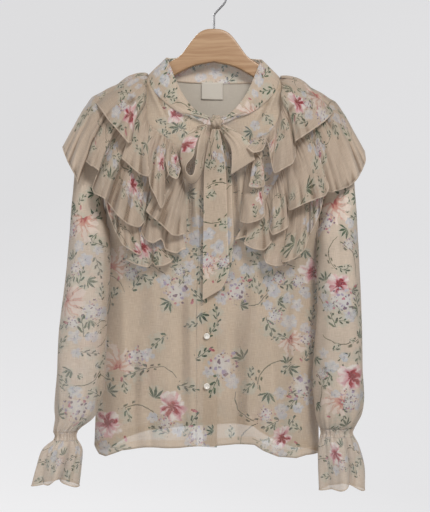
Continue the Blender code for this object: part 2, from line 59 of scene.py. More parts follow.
# ---------------------------------------------------------------- the body's tables, as in the frame
SHOULDER_TIP = (190.0, 120.0)
UNDERARM = 285.0
ARMHOLE_DEPTH = 30.0
PLACKET_WIDTH = 31.0
SHOULDER = [(0, 30), (66, 47.5), (103, 75), (150, 98.5), SHOULDER_TIP]
NECK_FRONT = [
    (0, 154), (12, 152), (24, 147), (38, 141), (50, 137), (58, 134), (64, 130), (72, 124), (84, 113), (95, 100),
    (100, 88), (103, 75), (150, 98.5), SHOULDER_TIP]
NECK_BACK = [(0, 81.5), (45, 80.5), (80, 78), (103, 75), (150, 98.5), SHOULDER_TIP]
BODY_SIDES = [
    (120, -190, 190), (202, -180, 178), (285, -171, 166), (337, -171.5, 164), (400, -174, 163), (500, -180, 163),
    (600, -187, 165), (680, -190, 166)]
CENTRE_LINE = [(150, 0), (300, -5), (420, -11), (680, -11)]
HEM = [
    (-190, 655), (-180, 667), (-168, 669), (-139, 657), (-99, 652), (-43, 652), (48, 647), (79, 648), (95, 657),
    (119, 667), (149, 671), (166, 667)]

SLEEVE = {
    "left": [(198.7, -182.6, 9.5, 29.5, 0, 81), (221, -191.5, 17.0, 31, 0, 76), (262, -195.0, 21.5, 31, -3, 57),
        (305, -197.0, 25.0, 32, -10, 32), (345, -198.0, 27.0, 33, -18, 14), (400, -200.5, 30.5, 33, -27, 4),
        (470, -205.3, 33.7, 33, -33, 0), (537, -208.0, 34.0, 33, -35, 0), (586, -211.5, 32.5, 32, -36, 0),
        (606, -215.0, 28.0, 29, -36, 0), (620, -225.0, 20.0, 23, -36, 0), (627, -229.0, 16.8, 18, -36, 0)],
    "right": [(206.1, 180.2, 12.0, 29.5, 0, 81), (228, 189.5, 18.5, 31, 0, 76), (262, 194.0, 23.0, 31, -3, 57),
        (305, 196.0, 25.5, 32, -10, 32), (345, 196.5, 27.0, 33, -18, 14), (395, 197.0, 29.5, 33, -26, 4),
        (450, 196.5, 31.5, 33, -31, 0), (518, 194.5, 34.5, 33, -33, 0), (570, 194.5, 35.5, 33, -33, 0),
        (598, 192.0, 34.5, 32, -33, 0), (614, 190.0, 29.0, 28, -33, 0), (622, 189.5, 25.0, 22, -33, 0)]}
CASING_HEIGHT = 11.0
FLOUNCE = {
    "left": [(0, 0, 17.5, 18.5, 0), (14, -5, 28, 25, 3), (40, -10, 29.5, 28, 5), (67, -15, 29, 30, 7)],
    "right": [(0, 0, 25.5, 22, 0), (14, 2, 29, 26, 3), (44, 6, 31, 29, 5), (79, 7, 29, 31, 6)]}

BAND = [
    (-1, 0, 0, 42, 21), (-1, 35, 28, 42, 20), (-1, 70, 52, 43, 17), (-1, 95, 68, 45, 10), (1, 103, 75, 47, 0),
    (1, 100, 71, 55, -9.5), (1, 95, 66, 67, -14), (1, 84, 61, 80, -18), (1, 72, 54, 96, -24), (1, 64, 45, 112, -29)]
BAND_END = [(52, 136, -34, 35, 125, -32), (34, 140, -38, 24, 135, -37), (12, 148, -46, 11, 142, -45)]
KNOT_CENTRE = (3.0, 150.0, -47.0)
KNOT_SIZE = (20.0, 14.0, 20.0)
LOOP_LEFT = [
    (-12, 155, -10, 158), (-28, 160.6, -17, 165), (-43.4, 175.7, -23, 176), (-49.9, 195, -28, 192),
    (-50.5, 214.6, -31, 206), (-46.5, 233, -40, 216), (-41.5, 243, -43.5, 225), (-34.8, 247, -39, 234),
    (-26.2, 243, -33, 234.5), (-18.6, 229, -29.5, 227), (-14.6, 206, -27.5, 212), (-13.2, 186, -24.5, 187),
    (-13.0, 170, -19, 168), (-10, 157, -12, 159)]
LOOP_LEFT_Y = (-76.0, -66.0, -54.0)      # the rim of its mouth, its outer side and its back
LOOP_RIGHT = [
    (15, 155, -50, 9, 163, -50), (30, 164, -60, 19, 178, -60), (46, 176, -67, 26, 193, -67),
    (57, 190, -69, 27, 213, -69), (62, 209, -66, 26, 232, -66)]
TAIL_FRONT = [
    (162, -3, 8, -49), (187, -9, 13, -51), (224, -15, 18, -51.5), (284, -16, 20, -51.5), (353, -17, 22, -51.5),
    (388, -17, 23, -51.5), (416, -17, 11, -51.5)]
TAIL_BACK = [
    (162, 0, 9, -45.5), (190, 3, 21, -46.5), (230, 4, 26, -47), (280, 3, 28, -47), (330, 3, 30, -47),
    (370, 5, 27, -47)]
RIDGE = [
    (0, 27), (50, 38), (95, 66), (103, 71), (125, 82), (150, 92), (170, 101), (190, 113), (205, 135), (217, 156),
    (231, 178), (240, 192), (255, 210)]

# ---------------------------------------------------------------- the folds of the ruffles
# Each row is one fold line: face (-1 behind the shoulder), x and drop of its sewn end, x and drop of its
# free end, and how far the free end lifts. Where the free end doubles back, the lift drops and the cloth
# turns under. x is measured outwards.
TIER_BASE = {1: 14.5, 2: 7.5, 3: 1.0}
LIFT_GAIN = 1.25
VIEW_X, VIEW_DROP, VIEW_DISTANCE = 1.5, 356.5, 2000.0     # the point and distance the tables are seen from
TIERS = {
    ("left", 1): [(-1, 105, 140, 128, 185, 2), (-1, 104, 122, 150, 160, 7), (-1, 104, 104, 172, 146, 3),
        (-1, 104, 80, 184, 118, 4), (1, 104, 76, 190, 105, 2), (1, 104, 84, 181, 121, 6), (1, 105, 94, 167, 141, 11),
        (1, 105, 102, 150, 160, 17), (1, 105, 109, 135, 178, 21), (1, 105, 115, 129, 177, 10),
        (1, 105, 121, 138, 190, 1), (1, 105, 128, 145, 202, 4), (1, 104, 136, 134, 212, 8),
        (1, 104, 144, 117, 227, 14), (1, 103, 151, 104, 231, 19), (1, 101, 156, 100, 222, 9),
        (1, 98, 160, 108, 206, 0), (1, 93, 165, 108, 188, 4), (1, 88, 169, 106, 192, 9), (1, 84, 172, 101, 243, 15),
        (1, 79, 175, 92, 262, 18), (1, 75, 178, 83, 282, 20), (1, 71, 181, 77, 266, 9), (1, 68, 184, 82, 234, 0),
        (1, 65, 187, 77, 204, 6), (1, 62, 190, 71, 228, 15), (1, 60, 193, 58, 235, 20), (1, 58, 197, 53, 217, 11),
        (1, 56, 202, 66, 222, 0), (1, 54, 209, 94, 262, 0), (1, 52, 217, 106, 285, 3), (1, 50, 227, 94, 297, 10),
        (1, 48, 239, 80, 309, 15), (1, 46, 250, 66, 323, 18), (1, 45, 258, 54, 324, 11), (1, 44, 266, 42, 321, 2)],
    ("left", 2): [(-1, 140, 165, 160, 215, 2), (-1, 146, 146, 190, 206, 7), (-1, 148, 128, 212, 190, 3),
        (-1, 150, 99, 231, 188, 3), (1, 150, 93, 238, 182, 2), (1, 149, 101, 230, 207, 6), (1, 147, 109, 219, 228, 9),
        (1, 146, 115, 213, 243, 7), (1, 145, 120, 219, 222, 0), (1, 143, 126, 205, 203, 1),
        (1, 142, 131, 203, 206, 8), (1, 140, 137, 192, 215, 13), (1, 138, 143, 181, 222, 16),
        (1, 136, 148, 184, 228, 5), (1, 133, 155, 191, 250, 3), (1, 131, 161, 188, 258, 9),
        (1, 128, 168, 179, 262, 17), (1, 125, 175, 171, 267, 19), (1, 122, 182, 166, 273, 5),
        (1, 119, 190, 160, 281, 11), (1, 114, 201, 150, 294, 18), (1, 108, 214, 135, 306, 20),
        (1, 102, 227, 118, 311, 16), (1, 98, 235, 109, 302, 5), (1, 94, 243, 114, 318, 0), (1, 88, 253, 108, 330, 5),
        (1, 82, 263, 96, 336, 12), (1, 76, 273, 84, 330, 6), (1, 69, 284, 80, 334, 4), (1, 62, 296, 76, 346, 7),
        (1, 57, 305, 60, 352, 9), (1, 52, 312, 44, 345, 3)],
    ("left", 3): [(1, 160, 205, 174, 258, 1), (1, 154, 226, 166, 288, 7), (1, 148, 240, 154, 320, 10),
        (1, 142, 251, 152, 322, 3), (1, 137, 259, 144, 338, 12), (1, 132, 267, 131, 347, 16),
        (1, 127, 274, 117, 355, 15), (1, 122, 281, 113, 346, 5), (1, 117, 286, 128, 354, 0),
        (1, 112, 291, 138, 362, 4), (1, 106, 296, 118, 371, 12), (1, 100, 301, 104, 374, 15),
        (1, 95, 305, 97, 366, 5), (1, 90, 309, 92, 372, 6), (1, 84, 314, 78, 371, 13), (1, 78, 318, 68, 366, 9),
        (1, 72, 322, 64, 360, 3)],
    ("right", 1): [(-1, 105, 140, 128, 185, 2), (-1, 104, 124, 150, 168, 7), (-1, 104, 108, 172, 154, 3),
        (-1, 104, 85, 186, 134, 4), (1, 104, 80, 193, 127, 2), (1, 104, 86, 184, 134, 5), (1, 105, 94, 172, 146, 11),
        (1, 105, 101, 153, 159, 16), (1, 105, 108, 137, 170, 20), (1, 105, 114, 128, 176, 17),
        (1, 105, 119, 127, 184, 3), (1, 105, 125, 128, 198, 6), (1, 104, 132, 123, 211, 14),
        (1, 103, 139, 109, 219, 18), (1, 101, 146, 95, 226, 15), (1, 99, 152, 90, 208, 2), (1, 96, 157, 86, 184, 0),
        (1, 92, 162, 82, 176, 6), (1, 88, 167, 76, 190, 15), (1, 84, 171, 62, 194, 19), (1, 80, 175, 52, 186, 11),
        (1, 76, 179, 60, 186, 1), (1, 73, 182, 74, 206, 2), (1, 70, 186, 79, 245, 9), (1, 66, 191, 67, 249, 17),
        (1, 63, 196, 55, 247, 15), (1, 61, 201, 59, 236, 4), (1, 58, 207, 76, 252, 0), (1, 56, 214, 79, 292, 7),
        (1, 53, 222, 68, 301, 15), (1, 50, 232, 52, 305, 16), (1, 48, 241, 43, 302, 9), (1, 46, 251, 50, 290, 1),
        (1, 44, 265, 41, 303, 2)],
    ("right", 2): [(-1, 140, 165, 160, 220, 2), (-1, 146, 150, 190, 212, 7), (-1, 148, 134, 212, 198, 3),
        (-1, 150, 104, 230, 204, 3), (1, 150, 99, 238, 204, 2), (1, 149, 106, 233, 220, 5),
        (1, 148, 113, 224, 236, 9), (1, 146, 120, 212, 247, 6), (1, 144, 127, 202, 251, 11),
        (1, 142, 134, 188, 256, 13), (1, 140, 141, 178, 254, 5), (1, 138, 147, 174, 240, 0),
        (1, 136, 153, 178, 240, 4), (1, 133, 160, 180, 250, 11), (1, 130, 168, 174, 262, 18),
        (1, 126, 178, 160, 267, 21), (1, 121, 190, 142, 274, 21), (1, 116, 201, 128, 281, 19),
        (1, 112, 209, 118, 284, 13), (1, 109, 217, 114, 270, 1), (1, 106, 225, 118, 276, 3),
        (1, 102, 234, 116, 310, 10), (1, 97, 244, 106, 317, 15), (1, 92, 253, 92, 323, 16), (1, 87, 261, 86, 310, 4),
        (1, 82, 269, 90, 304, 1), (1, 77, 277, 90, 334, 4), (1, 72, 284, 78, 347, 11), (1, 66, 290, 62, 345, 15),
        (1, 60, 296, 48, 338, 8), (1, 55, 301, 50, 326, 1), (1, 50, 306, 33, 331, 7)],
    ("right", 3): [(1, 160, 205, 172, 262, 1), (1, 155, 222, 166, 290, 7), (1, 149, 238, 152, 320, 10),
        (1, 144, 249, 150, 322, 3), (1, 139, 258, 142, 346, 12), (1, 133, 267, 130, 358, 16),
        (1, 127, 275, 118, 364, 14), (1, 122, 282, 108, 366, 8), (1, 117, 287, 106, 354, 1),
        (1, 111, 293, 112, 368, 4), (1, 104, 299, 97, 372, 14), (1, 97, 304, 82, 367, 16), (1, 91, 308, 78, 352, 5),
        (1, 84, 314, 84, 346, 1), (1, 78, 318, 76, 349, 8), (1, 72, 322, 66, 345, 2)]}

# ---------------------------------------------------------------- the printed flowers
# A bunch is made of parts: layer, kind, x and y from its middle, radius, turn in degrees.
BLOOMS, FILLERS, GREENS = 0, 1, 2
CRIMSON, FAN, BLUE = 0, 1, 2
BERRIES, BUD = 0, 1
SPRIG, LEAVES, STEM = 0, 1, 2
BUNCHES = {
    "crimson": [(BLOOMS, CRIMSON, 0, 0, 26, 0), (BLOOMS, BLUE, 8, 37, 15, 0), (BLOOMS, BLUE, -31, 20, 12, 40),
        (GREENS, LEAVES, -25, -19, 16, -52), (GREENS, SPRIG, 30, 26, 20, 150), (GREENS, SPRIG, -22, 38, 18, 40),
        (GREENS, SPRIG, 25, -28, 18, -140), (GREENS, STEM, -54, 8, 34, 20), (FILLERS, BUD, 34, 8, 7, 30),
        (FILLERS, BERRIES, -10, 27, 12, 0)],
    "fan": [(BLOOMS, FAN, 0, 0, 26, 0), (FILLERS, BERRIES, 28, -4, 15, 0), (BLOOMS, BLUE, 46, -8, 15, 0),
        (GREENS, SPRIG, 28, 20, 21, 80), (GREENS, LEAVES, -23, 23, 15, -160), (GREENS, SPRIG, -25, -23, 18, -60),
        (GREENS, SPRIG, 62, -27, 18, 60), (GREENS, STEM, 68, 16, 26, 100), (FILLERS, BUD, 6, 32, 6, 0)],
    "blue": [(BLOOMS, BLUE, 0, 0, 17, 0), (BLOOMS, BLUE, -15, -23, 14, 90), (BLOOMS, BLUE, 21, -17, 12, 30),
        (GREENS, LEAVES, -29, -7, 15, -70), (GREENS, SPRIG, 23, 14, 19, -40), (GREENS, SPRIG, -6, 29, 19, 170),
        (GREENS, SPRIG, 10, -36, 16, 20), (FILLERS, BERRIES, -18, 15, 12, 0), (GREENS, STEM, -52, 28, 30, 60)],
    "lilac": [(FILLERS, BERRIES, 0, 0, 23, 0), (BLOOMS, BLUE, 15, 25, 16, 0), (BLOOMS, BLUE, -23, 11, 13, 60),
        (GREENS, SPRIG, -14, 33, 20, 100), (GREENS, LEAVES, 25, -16, 15, 30), (GREENS, SPRIG, 40, 34, 17, 120),
        (GREENS, SPRIG, -29, -18, 17, -50), (FILLERS, BUD, -17, -23, 7, 0)],
    "twig": [(GREENS, STEM, 0, 0, 38, 0), (GREENS, SPRIG, 12, -30, 17, 20), (GREENS, SPRIG, -13, 24, 15, 160)],
    "leaf": [(GREENS, LEAVES, 0, 0, 16, 0), (GREENS, SPRIG, 19, 17, 17, 80), (GREENS, SPRIG, -19, 12, 15, -60)]}
# Bunch, x, drop, size and turn, on the fronts and the placket.
BODY_PRINT = [
    ("fan", -149, 518, 1.0, 0), ("lilac", -56, 412, 0.95, 160), ("crimson", -64, 588, 1.0, 0),
    ("crimson", -166, 622, 1.0, 20), ("leaf", -17, 452, 0.9, 0), ("twig", -170, 440, 0.9, 10),
    ("leaf", -158, 566, 0.9, 200), ("lilac", -24, 636, 0.7, 0), ("lilac", 14, 524, 1.0, 0),
    ("lilac", 34, 408, 0.9, 90), ("blue", 34, 352, 1.0, 100), ("blue", -38, 372, 0.8, 10),
    ("blue", 92, 408, 0.9, 150), ("blue", 116, 456, 1.05, 60), ("fan", 124, 492, 0.8, -15),
    ("lilac", 138, 556, 0.95, -90), ("blue", 104, 594, 1.0, 30), ("crimson", 104, 634, 0.72, 10),
    ("twig", 50, 636, 0.9, 80), ("twig", 82, 534, 0.9, 60), ("fan", -154, 366, 0.9, 0), ("blue", -112, 372, 0.9, 0),
    ("blue", -28, 330, 1.0, 40), ("leaf", -80, 262, 1.0, 0), ("blue", 78, 370, 0.9, 200),
    ("crimson", 152, 378, 0.9, 30), ("crimson", -60, 140, 0.6, 200), ("leaf", -62, 158, 0.9, 0),
    ("blue", 76, 172, 0.8, 0), ("twig", 60, 250, 0.9, 0), ("crimson", -92, 190, 0.7, 0), ("blue", 100, 240, 0.9, 0),
    ("leaf", -34, 262, 0.8, 0)]
# Bunch, distance round the sleeve from the middle of its front, drop, size and turn.
SLEEVE_PRINT = {
    "left": [("fan", -5, 318, 1.0, 180), ("blue", 2, 366, 0.9, 0), ("fan", -10, 432, 1.0, 30),
        ("leaf", 14, 400, 0.8, 0), ("blue", -6, 484, 0.9, 120), ("lilac", 4, 592, 0.9, 200),
        ("twig", 14, 548, 0.9, 20), ("leaf", -14, 540, 0.8, -30), ("leaf", 6, 262, 0.8, 0), ("fan", 80, 380, 1.0, 0),
        ("crimson", 84, 500, 0.9, 40), ("blue", 120, 340, 1.0, 0), ("crimson", 120, 430, 1.0, -40),
        ("blue", 80, 590, 0.9, 90), ("lilac", 116, 545, 0.9, 30), ("crimson", 98, 272, 0.9, 200),
        ("leaf", -30, 288, 0.9, 0), ("twig", 126, 290, 0.8, 40), ("leaf", -30, 396, 0.9, 30),
        ("leaf", 122, 486, 0.9, 0), ("blue", 76, 442, 0.8, 0)],
    "right": [("fan", -4, 284, 1.0, 150), ("crimson", -8, 396, 0.8, -10), ("lilac", -2, 420, 0.9, 0),
        ("leaf", 16, 436, 1.0, 150), ("twig", 12, 352, 0.9, 0), ("crimson", 12, 536, 0.95, -20),
        ("blue", -14, 520, 0.8, 0), ("fan", -12, 572, 0.8, 20), ("twig", 4, 480, 0.9, -30), ("leaf", 10, 606, 0.8, 0),
        ("fan", -118, 400, 1.0, 0), ("crimson", -80, 300, 0.9, 0), ("blue", -116, 330, 1.0, 0),
        ("blue", -78, 410, 1.0, 60), ("lilac", -82, 520, 0.9, 0), ("crimson", -120, 500, 0.9, 120),
        ("twig", -116, 585, 0.9, 30), ("leaf", 30, 262, 0.9, 0), ("blue", 30, 322, 0.9, 0),
        ("leaf", -122, 268, 1.0, 90), ("leaf", 30, 470, 0.9, 0)]}
# Bunch, position along the ruffle in rows of its table, distance from its sewn edge, size and turn.
RUFFLE_PRINT = {
    ("left", 1): [("blue", 1, 40, 0.8, 0), ("crimson", 7.4, 52, 0.8, 70), ("blue", 5.0, 26, 0.8, 20),
        ("leaf", 8.4, 12, 0.9, 0), ("leaf", 11.5, 36, 0.7, 40), ("leaf", 14.0, 52, 0.8, 0), ("leaf", 17, 24, 0.7, 90),
        ("crimson", 20.6, 46, 0.62, 150), ("leaf", 23, 20, 0.8, 0), ("crimson", 26.2, 30, 0.5, 0),
        ("blue", 27.4, 60, 0.7, 90), ("twig", 29, 50, 0.9, 0)],
    ("left", 2): [("fan", 1, 50, 0.8, 0), ("blue", 4.2, 66, 0.9, 30), ("leaf", 5.2, 44, 0.9, 60),
        ("crimson", 8.6, 74, 0.5, 0), ("leaf", 12.6, 60, 0.9, 180), ("blue", 14.6, 60, 0.7, 40),
        ("leaf", 16.4, 76, 0.9, 120), ("twig", 18, 40, 0.9, 0), ("crimson", 20.6, 50, 0.62, 0),
        ("blue", 23, 40, 0.8, 0), ("leaf", 25, 30, 0.8, 0)],
    ("left", 3): [("fan", 1, 50, 0.9, 0), ("leaf", 3.4, 76, 0.8, 0), ("crimson", 6.4, 84, 0.62, 20),
        ("leaf", 8.6, 60, 0.8, 0), ("crimson", 10.4, 52, 0.75, 160), ("leaf", 12, 60, 0.8, 0),
        ("blue", 13.6, 30, 0.7, 0)],
    ("right", 1): [("blue", 1, 40, 0.8, 0), ("fan", 4.9, 66, 0.85, 60), ("crimson", 6.8, 38, 0.72, 20),
        ("leaf", 6.4, 14, 1.0, -60), ("leaf", 8.5, 48, 0.7, 0), ("leaf", 12.6, 30, 0.7, 0), ("fan", 15.2, 40, 0.5, 0),
        ("twig", 18, 30, 0.6, 0), ("fan", 23, 50, 0.55, 180), ("leaf", 21, 30, 0.6, 0), ("blue", 26, 60, 0.7, 0),
        ("crimson", 28, 60, 0.5, 0)],
    ("right", 2): [("fan", 1, 50, 0.8, 0), ("blue", 5.4, 74, 0.7, 0), ("twig", 4.4, 56, 1.0, 10),
        ("leaf", 7, 54, 0.8, 40), ("leaf", 9.4, 30, 0.8, 0), ("blue", 12, 52, 0.8, 0), ("crimson", 10.6, 70, 0.5, 90),
        ("leaf", 15.2, 82, 0.9, 0), ("leaf", 18.6, 60, 0.7, 0), ("leaf", 22.6, 50, 0.7, 60),
        ("crimson", 25.4, 44, 0.6, 40), ("leaf", 27, 30, 0.7, 0)],
    ("right", 3): [("crimson", 1, 40, 0.8, 0), ("blue", 3.2, 64, 0.8, 0), ("leaf", 6.4, 70, 1.1, 0),
        ("leaf", 9, 60, 0.8, 60), ("twig", 12, 30, 0.8, 0)]}


# ---------------------------------------------------------------- small helpers
def look_up(table, x, column=1):
    return np.interp(x, [row[0] for row in table], [row[column] for row in table])


def ease(low, high, value):
    """0 at low, 1 at high, smooth between. low may be above high."""
    t = np.clip((np.asarray(value, dtype=float) - low) / (high - low), 0, 1)
    return t * t * (3 - 2 * t)


def bell(value, middle, width):
    return np.exp(-((value - middle) / width) ** 2)


def unit(vectors):
    return vectors / np.maximum(np.linalg.norm(vectors, axis=-1, keepdims=True), 1e-9)


def stacked(*numbers):
    """Coordinates, broadcast to one shape, as an array of points."""
    return np.stack(np.broadcast_arrays(*numbers), axis=-1)


def travel(points):
    """Distance along a line of points from its first."""
    return np.concatenate([[0], np.cumsum(np.linalg.norm(np.diff(points, axis=0), axis=1))])


def smooth_rows(table, positions):
    """The table's rows at fractional positions, on a smooth curve through them."""
    rows = np.array(table, dtype=float)
    last = len(rows) - 1
    at = np.clip(np.asarray(positions, dtype=float), 0, last)
    i = np.minimum(at.astype(int), last - 1)
    t = (at - i)[:, None]
    a, b, c, d = (rows[np.clip(i + k, 0, last)] for k in (-1, 0, 1, 2))
    return 0.5 * (2 * b + (c - a) * t + (2 * a - 5 * b + 4 * c - d) * t ** 2 + (3 * b - a - 3 * c + d) * t ** 3)


def even_positions(table, count, columns):
    """Positions along the table, spaced evenly along the curve of the given columns."""
    fine = np.linspace(0, len(table) - 1, 40 * len(table))
    length = travel(smooth_rows(table, fine)[:, columns])
    return np.interp(np.linspace(0, length[-1], count), length, fine)


def resampled(table, count, columns=None):
    """The table as count rows on its smooth curve, spaced by row number or evenly along the given columns."""
    return smooth_rows(table, even_positions(table, count, columns) if columns
                       else np.linspace(0, len(table) - 1, count))


def to_world(points):
    """x, y, drop in millimetres to metres."""
    x, y, drop = points[..., 0], points[..., 1], points[..., 2]
    return np.stack([x * MM, y * MM, -(CROWN_BELOW_HOOK + drop + TILT * x) * MM], axis=-1)


def lattice_noise(a, b, seed):
    """Smooth noise from -1 to 1 on two coordinates."""
    i, j = np.floor(a), np.floor(b)
    s, t = a - i, b - j
    s, t = s * s * (3 - 2 * s), t * t * (3 - 2 * t)

    def corner(p, q):
        value = np.sin(p * 127.1 + q * 311.7 + seed * 74.7) * 43758.5453
        return (value - np.floor(value)) * 2 - 1

    low = corner(i, j) * (1 - s) + corner(i + 1, j) * s
    high = corner(i, j + 1) * (1 - s) + corner(i + 1, j + 1) * s
    return low * (1 - t) + high * t


# ---------------------------------------------------------------- meshes
def quads(rows, columns, closed=False, turned=False):
    """Corners of the quads between a grid's points. closed joins its last column to its first."""
    row, column = (n.ravel() for n in np.mgrid[:rows - 1, :columns if closed else columns - 1])
    after = (column + 1) % columns
    above, below = row * columns, (row + 1) * columns
    corners = [above + column, above + after, below + after, below + column]
    return np.stack([corners[k] for k in ((0, 3, 2, 1) if turned else (0, 1, 2, 3))], axis=1)


def link_to_scene(made):
    bpy.context.scene.collection.objects.link(made)
    return made


def new_object(name, points, faces, finish):
    mesh = bpy.data.meshes.new(name)
    mesh.from_pydata(np.reshape(points, (-1, 3)).tolist(), [], [list(map(int, face)) for face in faces])
    mesh.shade_smooth()
    mesh.materials.append(finish)
    return link_to_scene(bpy.data.objects.new(name, mesh))


def stand_for(made, node):
    """Puts a piece on the body in place of a solid of the frame."""
    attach(made, "root")
    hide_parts(node)


# ---------------------------------------------------------------- the print's place on the cloth
VARIANTS = 7
TURN_STEP = 37              # degrees by which each bunch's flowers turn from the last bunch's
KIND_STEP = 4.0
PRINT_REACH = 1.45          # radii of a flower that its map reaches
PRINT_LIMIT = 1.9           # where its map stops


def bunch_parts(bunches):
    """The single flowers and leaves of the bunches, as layer, kind, u, v, radius, turn, variant."""
    parts = []
    for n, (name, u, v, size, turn) in enumerate(bunches):
        cos, sin = math.cos(math.radians(turn)), math.sin(math.radians(turn))
        for m, (layer, kind, dx, dy, radius, own) in enumerate(BUNCHES[name]):
            parts.append((layer, kind, u + size * (dx * cos - dy * sin), v + size * (dx * sin + dy * cos),
                          radius * size, own + turn + TURN_STEP * n, (n * 3 + m) % VARIANTS))
    return parts


def print_map(cloth_uv, parts):
    """Each face corner's place on its face's nearest flower, in radii of that flower.

    KIND_STEP times the flower's kind is added to the first number, and the same times its variant to the second.
    """
    if not parts:
        return np.full((len(cloth_uv), 2), 2.0)
    table = np.array(parts, dtype=float)
    centres = cloth_uv.reshape(-1, 4, 2).sum(axis=1) / 4
    away = np.hypot(centres[:, :1] - table[:, 1], centres[:, 1:] - table[:, 2]) / table[:, 3]
    mine = table[away.argmin(axis=1)].repeat(4, axis=0)
    near = (away.min(axis=1) < PRINT_REACH).repeat(4)[:, None]
    du, dv = ((cloth_uv - mine[:, 1:3]) / mine[:, 3:4]).T
    cos, sin = np.cos(np.radians(mine[:, 4])), np.sin(np.radians(mine[:, 4]))
    local = stacked(du * cos + dv * sin, dv * cos - du * sin)
    return np.where(near, np.clip(local, -PRINT_LIMIT, PRINT_LIMIT) + KIND_STEP * mine[:, [0, 5]], PRINT_LIMIT)


# ---------------------------------------------------------------- cloth
BODY_AXIS = (0.0, 15.0)     # x and y of the middle of the body
FOLD_PASSES = 26            # times that the cloth is averaged to find what is round a fold
FOLD_DEPTH = 1.4            # height that counts as a full fold
ROLL_SIDES = 6
ROLL_PLACE = (900, 904)     # a place on the flat cloth with no print
ROLL_RIDGE_HIGHLIGHT = 0.6             # how far a rolled hem counts as a ridge, for the painted ridge highlight
FAR_FROM_EDGE = 99.0


def blurred(values, passes, ring):
    """Grid values averaged with their neighbours. A ring's last column lies on its first."""
    for _ in range(passes):
        tall = np.concatenate([values[:1], values, values[-1:]])
        values = (tall[:-2] + 2 * values + tall[2:]) / 4
        before, after = (values[:, -2:-1], values[:, 1:2]) if ring else (values[:, :1], values[:, -1:])
        wide = np.concatenate([before, values, after], axis=1)
        values = (wide[:, :-2] + 2 * values + wide[:, 2:]) / 4
    return values


def fold_height(grid, ring, axis):
    """How far the cloth stands out from what is round it, -1 in a valley and 1 on a ridge.

    axis is the x and y that the outer side of the cloth faces away from.
    """
    around = blurred(grid, FOLD_PASSES, ring)
    normal = unit(np.cross(np.gradient(around, axis=0), np.gradient(around, axis=1)))
    outward = normal[..., 0] * (around[..., 0] - axis[0]) * 0.2 + normal[..., 1] * (around[..., 1] - axis[1])
    normal *= np.where(outward < 0, -1.0, 1.0)[..., None]
    return np.tanh(((grid - around) * normal).sum(axis=-1) / FOLD_DEPTH)


def rolled_hem(line):
    """Points, faces and places on the cloth of a thin roll along a line of points."""
    line = to_world(line)
    along = unit(np.gradient(line, axis=0))
    side = unit(np.cross(along, (0.0, 1.0, 0.0)))
    up = np.cross(side, along)
    turn = (2 * math.pi * np.arange(ROLL_SIDES) / ROLL_SIDES)[:, None]
    points = line[:, None] + HEM_ROLL * MM * (np.cos(turn) * side[:, None] + np.sin(turn) * up[:, None])
    length = travel(line) / MM
    low, high = ROLL_PLACE
    uv = np.stack([stacked(length[:-1], low), stacked(length[1:], low),
                   stacked(length[1:], high), stacked(length[:-1], high)], axis=1)
    uv = uv.repeat(ROLL_SIDES, axis=0).reshape(-1, 2)
    return points.reshape(-1, 3), quads(len(line), ROLL_SIDES, True, True), uv


def cloth(node, grid, finish, bunches=(), uv=None, ring=False, edge=FAR_FROM_EDGE, wall=WALL,
          rolled=False, band=False, axis=BODY_AXIS, folds=0.6, dense=0.0, shade=0.0, slot="chiffon", **sheet):
    """A cloth piece on a grid of points, in place of the frame's node. sheet is what is said of its flat cut, and is
    not used.

    uv is each point's place on the flat cloth in millimetres, and is its x and drop where it isn't given. A ring's
    last column lies on its first. edge is the distance from the nearest free edge. rolled gives the last row a
    rolled hem, and band turns the hem up wide. The cloth's outer side faces away from axis, an x and a y. folds is
    how strongly painted shade in the folds' valleys and painted highlight on their ridges change the colour, shade
    how much painted shade is added besides, and dense what is added to the opacity.
    """
    rows, columns = grid.shape[:2]
    used = columns - 1 if ring else columns
    points = to_world(grid[:, :used]).reshape(-1, 3)
    faces = quads(rows, used, ring)
    corners = quads(rows, columns).ravel()
    uv = (grid[..., [0, 2]] if uv is None else uv).reshape(-1, 2)[corners]
    if rolled:
        roll_points, roll_faces, roll_uv = rolled_hem(grid[-1])
        faces = np.concatenate([faces, roll_faces + len(points)])
        points = np.concatenate([points, roll_points])
        uv = np.concatenate([uv, roll_uv])

    def on_corners(values, on_roll):
        values = np.broadcast_to(values, (rows, columns)).ravel()[corners]
        return np.append(values, np.full(len(uv) - len(values), on_roll))

    made = new_object(node + "_cloth", points, faces, finish)
    parts = bunch_parts(bunches)
    maps = {"cloth": uv * MM}
    for layer, name in enumerate(("blooms", "fillers", "greens")):
        maps[name] = print_map(uv, [part[1:] for part in parts if part[0] == layer])
    maps["edge"] = stacked(on_corners(edge, 0.0) * MM, float(band))
    # Painted shade and highlight: the fold map darkens the folds' valleys and lightens their ridges, and shade adds
    # painted shade.
    height = fold_height(grid, ring, axis) * folds - shade
    maps["fold"] = stacked(on_corners(height, ROLL_RIDGE_HIGHLIGHT), on_corners(dense, 0.0))
    for name, values in maps.items():
        made.data.uv_layers.new(name=name).data.foreach_set("uv", values.ravel())
    solid = made.modifiers.new("thickness", "SOLIDIFY")
    solid.thickness = wall * MM
    solid.offset = 0.0
    stand_for(made, node)


# ---------------------------------------------------------------- shader arithmetic
def new_node(tree, kind, inputs, **settings):
    """A node with its settings and inputs. An input is a Num, another node's output or a plain value."""
    node = tree.nodes.new("ShaderNode" + kind)
    for name, value in settings.items():
        setattr(node, name, value)
    for slot, value in inputs.items():
        value = value.socket if isinstance(value, Num) else value
        if isinstance(value, bpy.types.NodeSocket):
            tree.links.new(value, node.inputs[slot])
        elif value is not None:
            node.inputs[slot].default_value = value
    return node


